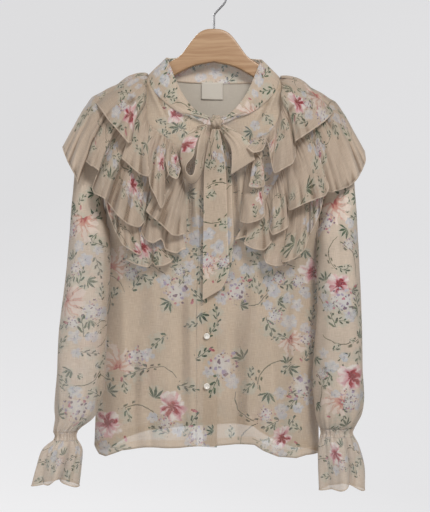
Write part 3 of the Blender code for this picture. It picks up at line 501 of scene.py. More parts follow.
class Num:
    """A number in a shader, so that a pattern reads as arithmetic."""

    def __init__(self, tree, socket):
        self.tree = tree
        self.socket = socket

    def math(self, operation, other=None, third=None, clamp=False):
        node = new_node(self.tree, "Math", {0: self, 1: other, 2: third}, operation=operation, use_clamp=clamp)
        return Num(self.tree, node.outputs[0])

    def __rsub__(self, other):
        return self * -1.0 + other

    def power(self, p):
        return self.math("POWER", p)

    def clamp(self):
        return self.math("ADD", 0.0, clamp=True)

    def near(self, value):
        return self.math("COMPARE", value, 0.5)

    def ramp(self, low, high):
        """0 below low, 1 above high, smooth between. low may be above high."""
        ends = {"From Min": min(low, high), "From Max": max(low, high), "To Min": float(low > high),
                "To Max": float(low <= high)}
        node = new_node(self.tree, "MapRange", {"Value": self, **ends}, interpolation_type="SMOOTHSTEP")
        return Num(self.tree, node.outputs[0])


for method, operation in (("__add__", "ADD"), ("__radd__", "ADD"), ("__sub__", "SUBTRACT"), ("__mul__", "MULTIPLY"),
                          ("__rmul__", "MULTIPLY"), ("__truediv__", "DIVIDE"), ("least", "MINIMUM"),
                          ("most", "MAXIMUM"), ("atan2", "ARCTAN2")):
    setattr(Num, method, lambda self, other, operation=operation: self.math(operation, other))
for method, operation in (("abs", "ABSOLUTE"), ("sin", "SINE"), ("cos", "COSINE"), ("fract", "FRACT"),
                          ("floor", "FLOOR")):
    setattr(Num, method, lambda self, operation=operation: self.math(operation))


class Shader:
    """A material, with calls for what its patterns need."""

    def __init__(self, name, roughness, sheen=0.0, specular=0.5, metallic=0.0):
        self.material = bpy.data.materials.new(name)
        self.material.use_nodes = True
        self.tree = self.material.node_tree
        self.surface = self.tree.nodes["Principled BSDF"]
        self.fix(Roughness=roughness, Metallic=metallic, Specular_IOR_Level=specular, Sheen_Weight=sheen,
                 Sheen_Roughness=0.5)

    def fix(self, **values):
        """Sets the surface's own sockets, with _ for a space."""
        for socket, value in values.items():
            self.surface.inputs[socket.replace("_", " ")].default_value = value

    def feed(self, socket, value):
        """Links a Num or a node's output to a socket of the surface."""
        self.tree.links.new(value.socket if isinstance(value, Num) else value, self.surface.inputs[socket])

    def bump(self, height, strength, distance):
        node = new_node(self.tree, "Bump", {"Height": height, "Strength": strength, "Distance": distance})
        self.feed("Normal", node.outputs[0])

    def split(self, vector):
        """The three numbers of a vector, or of the UV map of that name."""
        if isinstance(vector, str):
            vector = new_node(self.tree, "UVMap", {}, uv_map=vector).outputs[0]
        return tuple(Num(self.tree, out) for out in new_node(self.tree, "SeparateXYZ", {0: vector}).outputs)

    def join(self, *numbers):
        return new_node(self.tree, "CombineXYZ", dict(enumerate(numbers))).outputs[0]

    def noise(self, vector, scale, detail=2.0):
        node = new_node(self.tree, "TexNoise", {"Vector": vector, "Scale": scale, "Detail": detail})
        return Num(self.tree, node.outputs[0])

    def object_position(self):
        return self.tree.nodes.new("ShaderNodeTexCoord").outputs["Object"]

    def mix(self, amount, first, second):
        first, second = ((*c, 1.0) if isinstance(c, tuple) else c for c in (first, second))
        return new_node(self.tree, "Mix", {"Factor": amount, 6: first, 7: second}, data_type="RGBA").outputs[2]


def colour(red, green, blue):
    """Linear colour from display values of 0 to 255."""
    return tuple(((v / 255 + 0.055) / 1.055) ** 2.4 if v > 10 else v / 255 / 12.92 for v in (red, green, blue))


PETAL_WHITE = colour(244, 238, 232)
PETAL_PINK = colour(232, 184, 186)
PEACH = colour(236, 220, 208)
SALMON = colour(214, 142, 126)
CRIMSON_RED = colour(170, 26, 56)
DEEP_RED = colour(128, 16, 44)
ROSE = colour(196, 110, 132)
PALE_BLUE = colour(198, 204, 214)
MIST = colour(226, 223, 220)
LILAC = colour(170, 154, 184)
PLUM = colour(112, 78, 108)
SAGE = colour(200, 200, 184)
LEAF_DARK = colour(38, 62, 54)
LEAF_MID = colour(88, 112, 86)
STEM_BROWN = colour(114, 108, 80)
# Painted shade of the folds' valleys.
VALLEY_SHADE = colour(120, 95, 72)
# Painted highlight along thin hems.
HEM_HIGHLIGHT = colour(236, 218, 198)


def flower_layer(tools, name, unsteady=0.5):
    """A layer's flower coordinates, a little unsteady as if painted: kind, variant, x, y, radius, angle, streak."""
    u, v, _ = tools.split(name)
    kind = ((u + 2.0) / KIND_STEP).floor()
    variant = ((v + 2.0) / KIND_STEP).floor()
    x = u - kind * KIND_STEP
    y = v - variant * KIND_STEP
    sway = tools.noise(tools.join(x, y, variant + 9.0), 2.0) - 0.5
    push = tools.noise(tools.join(x, y, variant + 21.0), 2.0) - 0.5
    x = x + sway * unsteady
    y = y + push * unsteady
    radius = (x * x + y * y).power(0.5)
    out = radius + 0.06
    streak = tools.noise(tools.join(x / out, y / out, variant + radius * 0.5), 2.6)
    return kind, variant, x, y, radius, y.atan2(x), streak


def from_foot(x, y, foot, reach):
    """Angle and distance from a point below the middle, as a share of reach."""
    low = y - foot
    return x.atan2(low * -1.0), (x * x + low * low).power(0.5) / reach


def paint_greens(tools, ground):
    """Leafy sprigs, bunches of long leaves and thin bending stems over a soft wash of sage."""
    kind, variant, x, y, radius, _, _ = flower_layer(tools, "greens", 0.22)
    shade = tools.noise(tools.join(x, y, variant), 3.4)
    # A sprig: slender pointed leaves, left and right by turns, along a curved stem.
    across = x - (y * 1.5).sin() * 0.16
    side = across.abs()
    taper = y.ramp(1.05, 0.1) * 0.75 + 0.25
    reach = (side / (taper * 0.42)).least(1.0)
    place = (y - side * 1.1) * 1.45 + across.ramp(-0.02, 0.02) * 0.45
    slot = (place.fract() - 0.5).abs()
    within = y.abs().ramp(1.0, 0.9)
    sprig = ((reach * math.pi).sin() * 0.27 - slot).ramp(0.0, 0.09) * within
    sprig = sprig.most(side.ramp(0.04, 0.012) * within) * kind.near(SPRIG)
    # Long leaves that spread from one foot.
    spread, length = from_foot(x, y, 0.6, 1.3)
    axis = ((spread / 0.62 + length * 0.35 + 0.5).fract() - 0.5).abs() * length * 0.8
    blade = ((length.least(1.0) * math.pi).sin() * 0.15 - axis).ramp(0.0, 0.04) * spread.abs().ramp(1.25, 1.15)
    leaves = blade * kind.near(LEAVES)
    # A long thin stem that bends, with specks of leaf beside it.
    bow = x - y * y * 0.5 + 0.2
    stem = bow.abs().ramp(0.034, 0.012) * y.abs().ramp(1.0, 0.92)
    beside = (bow.abs() - 0.13).abs().ramp(0.07, 0.035)
    speck = ((y * 2.6 + bow.ramp(-0.02, 0.02) * 0.5).fract() - 0.5).abs().ramp(0.26, 0.16) * beside
    speck = speck * y.ramp(0.1, 0.2) * y.ramp(0.95, 0.85)
    stems = stem.most(speck) * kind.near(STEM)
    wash = (0.92 - radius - (shade - 0.5) * 1.6).ramp(0.0, 0.5) * (1.0 - kind.near(STEM)) * 0.6
    painted = tools.mix(wash * radius.ramp(1.2, 0.9), ground, SAGE)
    green = tools.mix(shade.ramp(0.36, 0.62), LEAF_DARK, LEAF_MID)
    green = tools.mix(stems * 0.5, green, STEM_BROWN)
    return tools.mix(sprig.most(leaves).most(stems) * (shade.ramp(0.22, 0.42) * 0.34 + 0.6), painted, green)


def paint_blooms(tools, ground):
    """The three big flowers."""
    kind, variant, x, y, radius, angle, streak = flower_layer(tools, "blooms")
    soft = tools.noise(tools.join(x, y, variant + 40.0), 1.9)
    uneven = soft - 0.5
    petals = (angle * 2.5 + variant).cos().abs().power(0.5)
    # Crimson: five broad pale petals and a splash of crimson fingers from the middle.
    crimson_edge = (petals * 0.3 + 0.66 + uneven * 0.9 - radius).ramp(0.0, 0.16)
    fingers = (angle * 3.5 + variant * 1.7).cos().abs().power(1.3) * (angle + variant * 2.0).cos().ramp(-1.6, 1.0)
    finger = fingers * 0.5 + 0.2 + uneven * 1.1
    crimson = tools.mix((streak - soft * 0.3).ramp(0.25, 0.5), PETAL_WHITE, PETAL_PINK)
    crimson = tools.mix((finger + 0.34 - radius).ramp(0.0, 0.35) * 0.7, crimson, ROSE)
    crimson = tools.mix((finger - radius).ramp(-0.02, 0.12), crimson, CRIMSON_RED)
    crimson = tools.mix((finger * 0.7 - radius + (streak - 0.5) * 0.5).ramp(0.0, 0.15) * 0.7, crimson, DEEP_RED)
    # Fan: long peach petals edged in salmon, spreading from a root at one side.
    spread, length = from_foot(x, y, 0.55, 1.5)
    petal = (spread * 5.5 + variant + length * 1.3 + uneven * 3.0).cos().abs()
    fan_edge = (petal.power(0.5) * 0.34 + 0.62 - spread.abs() * 0.16 + uneven * 0.9 - length).ramp(0.0, 0.12)
    gap = (petal - length * 0.5 + 0.1).ramp(0.0, 0.12)
    fan_edge = fan_edge * gap * spread.abs().ramp(2.2, 2.0)
    fan = tools.mix(petal.ramp(0.75, 0.4) * 0.7, PEACH, SALMON)
    fan = tools.mix((0.34 + uneven * 0.6 - length).ramp(0.0, 0.2) * 0.8, fan, SALMON)
    fan = tools.mix((0.16 + (streak - 0.5) * 0.6 - length).ramp(0.0, 0.1) * 0.7, fan, CRIMSON_RED)
    # Blue: a soft cloud of pale petals.
    blue_edge = (petals * 0.26 + 0.56 + uneven * 0.7 - radius).ramp(0.0, 0.22)
    blue = tools.mix(soft.ramp(0.38, 0.6), MIST, PALE_BLUE)
    blue = tools.mix((streak - radius * 0.3).ramp(0.42, 0.56) * 0.45, blue, LILAC)
    blue = tools.mix((0.10 - radius + uneven * 0.3).ramp(0.0, 0.08) * 0.6, blue, LEAF_MID)
    bloom = tools.mix(kind.near(BLUE), tools.mix(kind.near(FAN), crimson, fan), blue)
    cover = crimson_edge * kind.near(CRIMSON) * 0.95 + fan_edge * kind.near(FAN) * 0.9
    return tools.mix(cover + blue_edge * kind.near(BLUE) * 0.8, ground, bloom)


def paint_fillers(tools, ground):
    """Clusters of lilac and plum dots, and dabs of bud."""
    kind, variant, x, y, radius, _, streak = flower_layer(tools, "fillers")
    uneven = tools.noise(tools.join(x, y, variant + 60.0), 2.2) - 0.5
    cloud = (0.85 + uneven * 1.2 - radius).ramp(0.0, 0.4) * kind.near(BERRIES)
    painted = tools.mix(cloud * 0.8, ground, MIST)
    cells = new_node(tools.tree, "TexVoronoi", {"Vector": tools.join(x, y, variant), "Scale": 3.6})
    distance = Num(tools.tree, cells.outputs["Distance"])
    pick, second, _ = tools.split(cells.outputs["Color"])
    dots = (second * 0.16 + 0.34 - distance).ramp(0.0, 0.1) * (1.1 + uneven * 1.2 - radius).ramp(0.0, 0.15)
    dot_colour = PLUM
    for low, high, tint in ((0.28, 0.34, LILAC), (0.6, 0.64, ROSE), (0.8, 0.84, PALE_BLUE)):
        dot_colour = tools.mix(pick.ramp(low, high), dot_colour, tint)
    painted = tools.mix(dots * kind.near(BERRIES) * 0.85, painted, dot_colour)
    bud = (0.8 - ((x * 2.1) * (x * 2.1) + y * y).power(0.5) + uneven * 0.6).ramp(0.0, 0.2) * kind.near(BUD)
    bud_colour = tools.mix((y + (streak - 0.5) * 2.0).ramp(-0.3, 0.4), ROSE, CRIMSON_RED)
    return tools.mix(bud * 0.8, painted, bud_colour)


# ---------------------------------------------------------------- materials
THREADS, SLUB = 1400.0, 90.0            # how fine the weave is across its threads and along them
LIGHTER, DARKER = 1.07, 0.92            # the cloth's clouding
# How strongly painted shade darkens valleys and painted highlight lightens ridges, and how much lighter a wide hem's
# second layer is.
VALLEY_SHADE_AMOUNT, RIDGE_HIGHLIGHT_AMOUNT, BAND_TONE = 0.62, 0.3, 0.25
HEM_BAND = (0.0125, 0.0115)             # metres from the edge where a wide hem's second layer ends
HIGHLIGHT_REACH = (0.002, 0.001)                # and where the painted highlight along a thin hem's rim does
RIM_SOLID = (0.0022, 0.001)             # and where the rim is denser than the cloth
BAND_OPACITY, RIM_OPACITY = 0.16, 0.2


def make_chiffon(name, ground, alpha, rim=0.34):
    """Crinkled sheer cloth: uneven threads, a slight sheen and the print, with painted shade in its folds' valleys,
    painted highlight on their ridges and a painted highlight along thin hems, as strong as rim. Where alpha is 1 it
    is plain lining.
    """
    tools = Shader(name, 0.82, sheen=0.25, specular=0.25)
    cloud = tools.noise(tools.object_position(), 14.0, 3.0)
    u, v, _ = tools.split("cloth")
    slub = tools.noise(tools.join(u * SLUB, v * THREADS, 0.0), 1.0, 1.0)
    warp = tools.noise(tools.join(u * THREADS, v * SLUB, 5.0), 1.0, 1.0)
    weave = (slub + warp) * 0.5
    light = tuple(min(1.0, c * LIGHTER) for c in ground)
    dark = tuple(c * DARKER for c in ground)
    base = tools.mix((cloud * 0.6 + weave * 0.4).ramp(0.35, 0.65), dark, light)
    if alpha < 1:
        base = paint_fillers(tools, paint_blooms(tools, paint_greens(tools, base)))
    edge, band, _ = tools.split("edge")
    doubled = edge.ramp(*HEM_BAND) * band
    fold, dense, _ = tools.split("fold")
    # Painted shade in the folds' valleys and painted highlight on their ridges.
    base = tools.mix(fold.ramp(0.0, -1.0) * VALLEY_SHADE_AMOUNT, base, VALLEY_SHADE)
    base = tools.mix(fold.ramp(0.0, 1.0) * RIDGE_HIGHLIGHT_AMOUNT, base, light)
    # A painted highlight along thin hems, as strong as rim.
    base = tools.mix(edge.ramp(*HIGHLIGHT_REACH) * rim, base, HEM_HIGHLIGHT)
    base = tools.mix(doubled * BAND_TONE, base, light)
    tools.feed("Base Color", base)
    if alpha < 1:
        opacity = (weave - 0.5) * 0.4 + alpha + doubled * BAND_OPACITY + edge.ramp(*RIM_SOLID) * RIM_OPACITY + dense
        tools.feed("Alpha", opacity.clamp())
    tools.bump(weave + cloud * 0.6, 0.25, 0.0006)
    return tools.material


def make_label_cloth():
    tools = Shader("label_weave", 0.6, sheen=0.2, specular=0.3)
    weft = (tools.split(tools.object_position())[2] * 5200.0).sin()
    tools.feed("Base Color", tools.mix(weft * 0.5 + 0.5, colour(204, 197, 186), colour(214, 208, 197)))
    tools.bump(weft, 0.2, 0.0002)
    return tools.material


def make_wood():
    tools = Shader("lacquered_wood", 0.36)
    x, y, z = tools.split(tools.object_position())
    drift = tools.noise(tools.join(x * 6.0, y * 20.0, z * 20.0), 1.0, 3.0)
    grain = tools.noise(tools.join(x * 9.0 + drift, y * 160.0, z * 160.0 + drift * 6.0), 1.0, 4.0)
    pores = tools.noise(tools.join(x * 60.0, y * 900.0, z * 900.0), 1.0)
    base = tools.mix(grain.ramp(0.3, 0.7), colour(168, 130, 97), colour(192, 157, 122))
    tools.feed("Base Color", tools.mix(pores.ramp(0.62, 0.75) * 0.35, base, colour(146, 104, 68)))
    tools.feed("Roughness", grain * 0.15 + 0.28)
    tools.bump(grain + pores * 0.4, 0.12, 0.0005)
    return tools.material


def make_steel():
    tools = Shader("steel_wire", 0.3, metallic=1.0)
    x, y, z = tools.split(tools.object_position())
    scratch = tools.noise(tools.join(x * 3000.0, y * 3000.0, z * 120.0), 1.0)
    tools.feed("Base Color", tools.mix(scratch, colour(150, 150, 152), colour(186, 186, 190)))
    tools.feed("Roughness", scratch * 0.25 + 0.2)
    return tools.material


def make_pearl():
    tools = Shader("pearl_button", 0.22)
    tools.fix(Coat_Weight=0.5)
    cloud = tools.noise(tools.object_position(), 420.0, 3.0)
    tools.feed("Base Color", tools.mix(cloud.ramp(0.35, 0.65), colour(222, 214, 202), colour(246, 242, 236)))
    tools.bump(cloud, 0.1, 0.0002)
    return tools.material


chiffon = make_chiffon("chiffon_print", colour(214, 194, 171), 0.51)
# The sleeves' chiffon has a lighter ground than the body's: painted light.
lit_sleeve_chiffon = make_chiffon("chiffon_print_sleeves_painted_light", colour(222, 205, 187), 0.46)
double_chiffon = make_chiffon("chiffon_print_doubled", colour(212, 193, 173), 0.68, rim=0.12)
# The ruffles' chiffon has a darker ground than the body's: painted shade.
shaded_ruffle_chiffon = make_chiffon("chiffon_print_ruffles_painted_shade", colour(206, 187, 168), 0.53)
cream = make_chiffon("cream_lining", colour(195, 187, 175), 1.0)
label_weave = make_label_cloth()
wood = make_wood()
steel = make_steel()
pearl = make_pearl()


# ---------------------------------------------------------------- body
CREASE_GAIN = 2.0
# How far the cloth stands out from the sides' plane in the middle of each face, and the drop it takes to get there.
FULLNESS = {1: (29, 100), -1: (21, 120)}
SIDE_SHIFT = 16             # how far back the sides swing below the underarm
DRAPE_DEPTH = 4             # depth of the wide soft folds near the hem
# Soft creases of the body: face, x, drop of the middle, length, width, depth, slant (x per unit of drop).
CREASES = [
    (1, -140, 470, 260, 9, 2.6, 0.04), (1, -118, 560, 180, 7, -2.2, -0.03), (1, -92, 430, 210, 8, 2.0, 0.05),
    (1, -70, 590, 150, 7, 2.4, -0.05), (1, -44, 500, 260, 8, -2.4, 0.02), (1, -160, 330, 120, 8, 2.6, -0.35),
    (1, -150, 310, 100, 6, -1.8, -0.4), (1, 22, 520, 240, 8, 2.2, 0.03), (1, 44, 590, 150, 7, -2.0, -0.04),
    (1, 66, 440, 220, 8, 2.2, -0.03), (1, 92, 560, 200, 8, 2.8, 0.06), (1, 120, 480, 260, 9, -2.4, -0.02),
    (1, 142, 590, 150, 8, 2.2, 0.03), (1, 146, 330, 120, 7, 2.4, 0.35), (1, -104, 640, 80, 6, 2.0, 0.1),
    (1, 76, 640, 90, 6, 1.8, -0.08), (1, 0, 560, 200, 6, 1.2, 0.02), (1, -90, 116, 90, 5, 2.2, 0.45),
    (1, -79, 128, 90, 4, -1.6, 0.5), (1, -69, 142, 70, 4, 1.9, 0.4), (1, 91, 112, 80, 5, 2.0, -0.4),
    (1, 78, 130, 90, 4, -1.7, -0.5), (1, 66, 146, 70, 4, 1.8, -0.45), (1, 27, 262, 120, 3.2, 3.0, 0.04),
    (1, 34, 256, 100, 3, -2.6, 0.08), (1, 41, 264, 100, 3.2, 2.8, -0.04), (1, 50, 252, 90, 3.4, -2.4, 0.08),
    (1, -28, 276, 120, 3.2, 2.8, 0.05), (1, -36, 284, 100, 3.2, -2.4, -0.05), (1, -44, 292, 90, 3.4, 2.4, 0.06),
    (-1, -130, 480, 280, 10, 2.8, 0.03), (-1, -96, 560, 200, 8, -2.4, -0.03), (-1, -60, 430, 240, 9, 2.4, 0.04),
    (-1, -20, 540, 240, 8, -2.2, -0.02), (-1, 24, 470, 280, 9, 2.6, 0.02), (-1, 62, 580, 180, 8, 2.2, -0.04),
    (-1, 98, 450, 240, 9, -2.6, 0.03), (-1, 132, 560, 220, 8, 2.4, -0.02), (-1, 0, 250, 200, 12, 1.6, 0.0),
    (-1, -80, 230, 180, 10, 1.8, -0.2), (-1, 84, 240, 180, 10, 1.8, 0.2), (-1, 148, 320, 110, 7, 2.4, 0.3),
    (-1, -150, 320, 110, 7, 2.4, -0.3)]
# Painted shade on the front where it lies under the bow and ruffles: x, drop, half width, half height and strength.
PAINTED_SHADE_PLACES = [(-35, 214, 14, 22, 1.0), (25, 236, 10, 60, 0.75), (46, 196, 16, 26, 0.4), (-52, 250, 20, 40, 0.3)]


def side_edge(drop, side):
    wider = 1.5 * ease(270, 300, drop) * (1 - ease(430, 520, drop))
    return look_up(BODY_SIDES, drop, 1 if side < 0 else 2) + (wider if side > 0 else -wider)


def hem_drop(x):
    return look_up(HEM, x) - TILT * x


def crease(off, width, along, length, depth):
    """Depth of a soft crease at a distance off its line and a distance along it from its middle."""
    return depth * np.exp(-(off / width) ** 2 - (along / (length / 2)) ** 2 * 2)


def body_creases(x, drop, face):
    total = np.zeros(np.broadcast(x, drop).shape)
    for side, cx, cd, length, width, depth, slant in CREASES:
        if side == face:
            total = total + crease(x - cx - slant * (drop - cd), width, drop - cd, length, depth)
    return total + 0.5 * lattice_noise(x / 14, drop / 46, 3 + face) * ease(150, 260, drop)


def body_y(x, drop, face, creased=True):
    """y of the body's cloth at x and drop: face 1 is the front and -1 the back."""
    x = np.asarray(x, dtype=float)
    drop = np.asarray(drop, dtype=float)
    below = np.maximum(0.0, drop - look_up(SHOULDER, np.abs(x)))
    slow, reach = FULLNESS[face]
    depth = 1.1 + 10 * (1 - np.exp(-below / 4)) + slow * (1 - np.exp(-below / reach))
    side_shift = SIDE_SHIFT * ease(UNDERARM, 360, drop)
    middle = (SHOULDER_TIP[1] + UNDERARM) / 2
    half = (UNDERARM - SHOULDER_TIP[1]) / 2
    armhole = ARMHOLE_DEPTH * np.sqrt(np.maximum(0.0, 1 - ((drop - middle) / half) ** 2))
    edge = 0.9 + armhole
    centre = look_up(CENTRE_LINE, drop)
    side = np.where(x < centre, look_up(BODY_SIDES, drop, 1), look_up(BODY_SIDES, drop, 2))
    u = np.minimum(1.0, np.abs(x - centre) / np.abs(side - centre))
    fullness = (1 - u ** (3.6 + 40 * np.exp(-below / 14))) ** 0.6
    fold = DRAPE_DEPTH * ease(300, 620, drop) * np.sin(x / 12 + face) * fullness
    y = side_shift - face * (edge + (depth + face * side_shift - edge) * fullness + fold)
    return y - face * CREASE_GAIN * body_creases(x, drop, face) * fullness if creased else y


def body_grid(x_of, top_of, bottom_of, face, columns, rows, under=0.0):
    """Grid of a panel between u 0 and 1. x_of gives x at u and drop. under presses it back beside the placket."""
    grid = np.zeros((rows, columns, 3))
    for c, u in enumerate(np.linspace(0, 1, columns)):
        top, bottom = top_of(u), bottom_of(u)
        drop = top + (bottom - top) * np.linspace(0, 1, rows) ** 1.25
        x = x_of(u, drop)
        y = body_y(x, drop, face) + under * (1 - ease(10, 45, np.abs(x - look_up(CENTRE_LINE, drop))))
        grid[:, c] = stacked(x, y, drop)
    return grid


def painted_shade_under_cloth(grid):
    """How much painted shade darkens the cloth's colour where it lies under the bow and ruffles."""
    total = np.zeros(grid.shape[:2])
    for x, drop, wide, high, strength in PAINTED_SHADE_PLACES:
        total += strength * np.exp(-((grid[..., 0] - x) / wide) ** 2 - ((grid[..., 2] - drop) / high) ** 2)
    return total


def above_hem(grid):
    return grid[-1:, :, 2] - grid[:, :, 2]


def make_fronts():
    """The left front ends at the placket, and the right one runs on under it."""
    for node, side, inner, under, width in (("front_left", -1, -PLACKET_WIDTH / 2 - 0.3, 0.0, 0.19),
                                            ("front_right", 1, -6.0, 2.3, 0.2)):
        def x_of(u, drop):
            start = look_up(CENTRE_LINE, drop) + inner
            return start + (side_edge(drop, side) - start) * math.sin(u * math.pi / 2)

        def x_top(u):
            return inner + (side * SHOULDER_TIP[0] - inner) * math.sin(u * math.pi / 2)

        grid = body_grid(x_of, lambda u: look_up(NECK_FRONT, abs(x_top(u))), lambda u: hem_drop(x_top(u)),
                         1, 92, 170, under)
        cloth(node, grid, chiffon, BODY_PRINT, edge=above_hem(grid), band=True, shade=painted_shade_under_cloth(grid),
              flat=(width, 0.6), held="hung", rests_on=["hanger_wood"], area=0.101)


def make_placket():
    """The strip with the buttonholes, on the front's form, with a stitched ridge along each side."""
    half = PLACKET_WIDTH / 2
    drop = np.linspace(look_up(NECK_FRONT, 10) + 1, hem_drop(-11), 200)[:, None]
    across = np.linspace(-half, half, 22)
    x = look_up(CENTRE_LINE, drop) + across
    rim = np.minimum(across + half, half - across)
    y = body_y(x, drop, 1, False) - 0.5 - body_creases(x, drop, 1) * 0.5
    y = y - 0.35 * bell(rim, 1.2, 0.8) + 0.35 * bell(rim, 2.8, 0.5)
    cloth("placket", stacked(x, y, drop), chiffon, BODY_PRINT, edge=rim + 1.4, wall=THICK_WALL,
          flat=(0.031, 0.5), held="hung", rests_on=["front_left"])


def make_back():
    def share(u):
        return math.sin((u - 0.5) * math.pi)

    def x_of(u, drop):
        centre = look_up(CENTRE_LINE, drop)
        return centre + (side_edge(drop, share(u)) - centre) * abs(share(u))

    def top_of(u):
        return look_up(NECK_BACK, abs(share(u)) * SHOULDER_TIP[0])

    def bottom_of(u):
        return hem_drop(share(u) * SHOULDER_TIP[0]) - BACK_HEM_RISE * (1 - share(u) * share(u))

    grid = body_grid(x_of, top_of, bottom_of, -1, 150, 160)
    rng = random.Random(5)
    bunches = []
    for row in range(7):
        for column in range(5):
            kind = ("crimson", "blue", "fan", "twig", "blue")[(row * 2 + column) % 5]
            bunches.append((kind, -150 + 74 * column + 34 * (row % 2) + rng.uniform(-10, 10),
                            130 + 82 * row + rng.uniform(-12, 12), rng.uniform(0.85, 1.05), rng.uniform(0, 360)))
    cloth("back", grid, chiffon, bunches, edge=above_hem(grid), band=True,
          flat=(0.38, 0.6), held="hung", rests_on=["hanger_wood"], area=0.203)


def make_lining():
    """The lining of the upper back and the bare label on it."""
    x = np.linspace(-LINING_HEM[-1][0], LINING_HEM[-1][0], 60)
    top = look_up(NECK_BACK, np.abs(x)) + 2
    low = look_up(LINING_HEM, np.abs(x))
    drop = top + (low - top) * np.linspace(0, 1, 60)[:, None]
    y = body_y(x, drop, -1, False) - 2.4 + 0.4 * lattice_noise(x / 22, drop / 30, 8)
    cloth("back_lining", stacked(x, y, drop), cream, edge=low - drop, slot="lining",
          flat=(0.176, 0.05), held="hung", rests_on=["back"])

    x = np.linspace(-20, 14, 20)
    drop = np.linspace(82, 109, 16)[:, None]
    y = body_y(x, drop, -1, False) - 4.4 + 0.3 * np.sin(x / 9)
    cloth("neck_label", stacked(x, y, drop), label_weave, wall=0.4, slot="label",
          flat=(0.034, 0.027), held="hung", rests_on=["back_lining"])


# ---------------------------------------------------------------- sleeves and cuffs
# Creases of a sleeve: degrees round it, drop, length, width in degrees, depth, and turn per unit of drop.
SLEEVE_CREASES = [
    (95, 330, 160, 15, -2.6, 0.10), (60, 400, 200, 14, 2.4, -0.06), (125, 440, 190, 14, 2.4, 0.05),
    (85, 500, 180, 13, -2.6, 0.03), (40, 520, 150, 15, 2.0, 0.06), (140, 300, 110, 15, 2.2, -0.12),
    (70, 270, 90, 12, 2.0, 0.1), (110, 570, 90, 10, 2.4, 0.0), (75, 585, 80, 9, 2.2, -0.04),
    (150, 560, 110, 12, -2.0, 0.04), (230, 420, 220, 20, 2.8, 0.05), (290, 470, 220, 20, -2.6, -0.05),
    (260, 330, 160, 18, 2.4, 0.08), (200, 530, 150, 16, 2.4, 0.0), (320, 560, 130, 16, 2.2, 0.04)]
FLOUNCE_NOTCH = {"left": (80, 13, 20), "right": (66, 8, 24)}     # degrees round it, height and width in degrees
SLEEVE_RADIUS, CASING_RADIUS, FLOUNCE_RADIUS = 31.0, 46, 42      # radii that the print is laid out on


def cuff_pleat(angle):
    """The uneven small pleats that run through a sleeve's end, its casing and the top of its flounce."""
    return 0.75 * np.sin(angle * 17 + 1.6 * np.sin(angle * 3)) + 0.4 * np.sin(angle * 9 + 0.8)


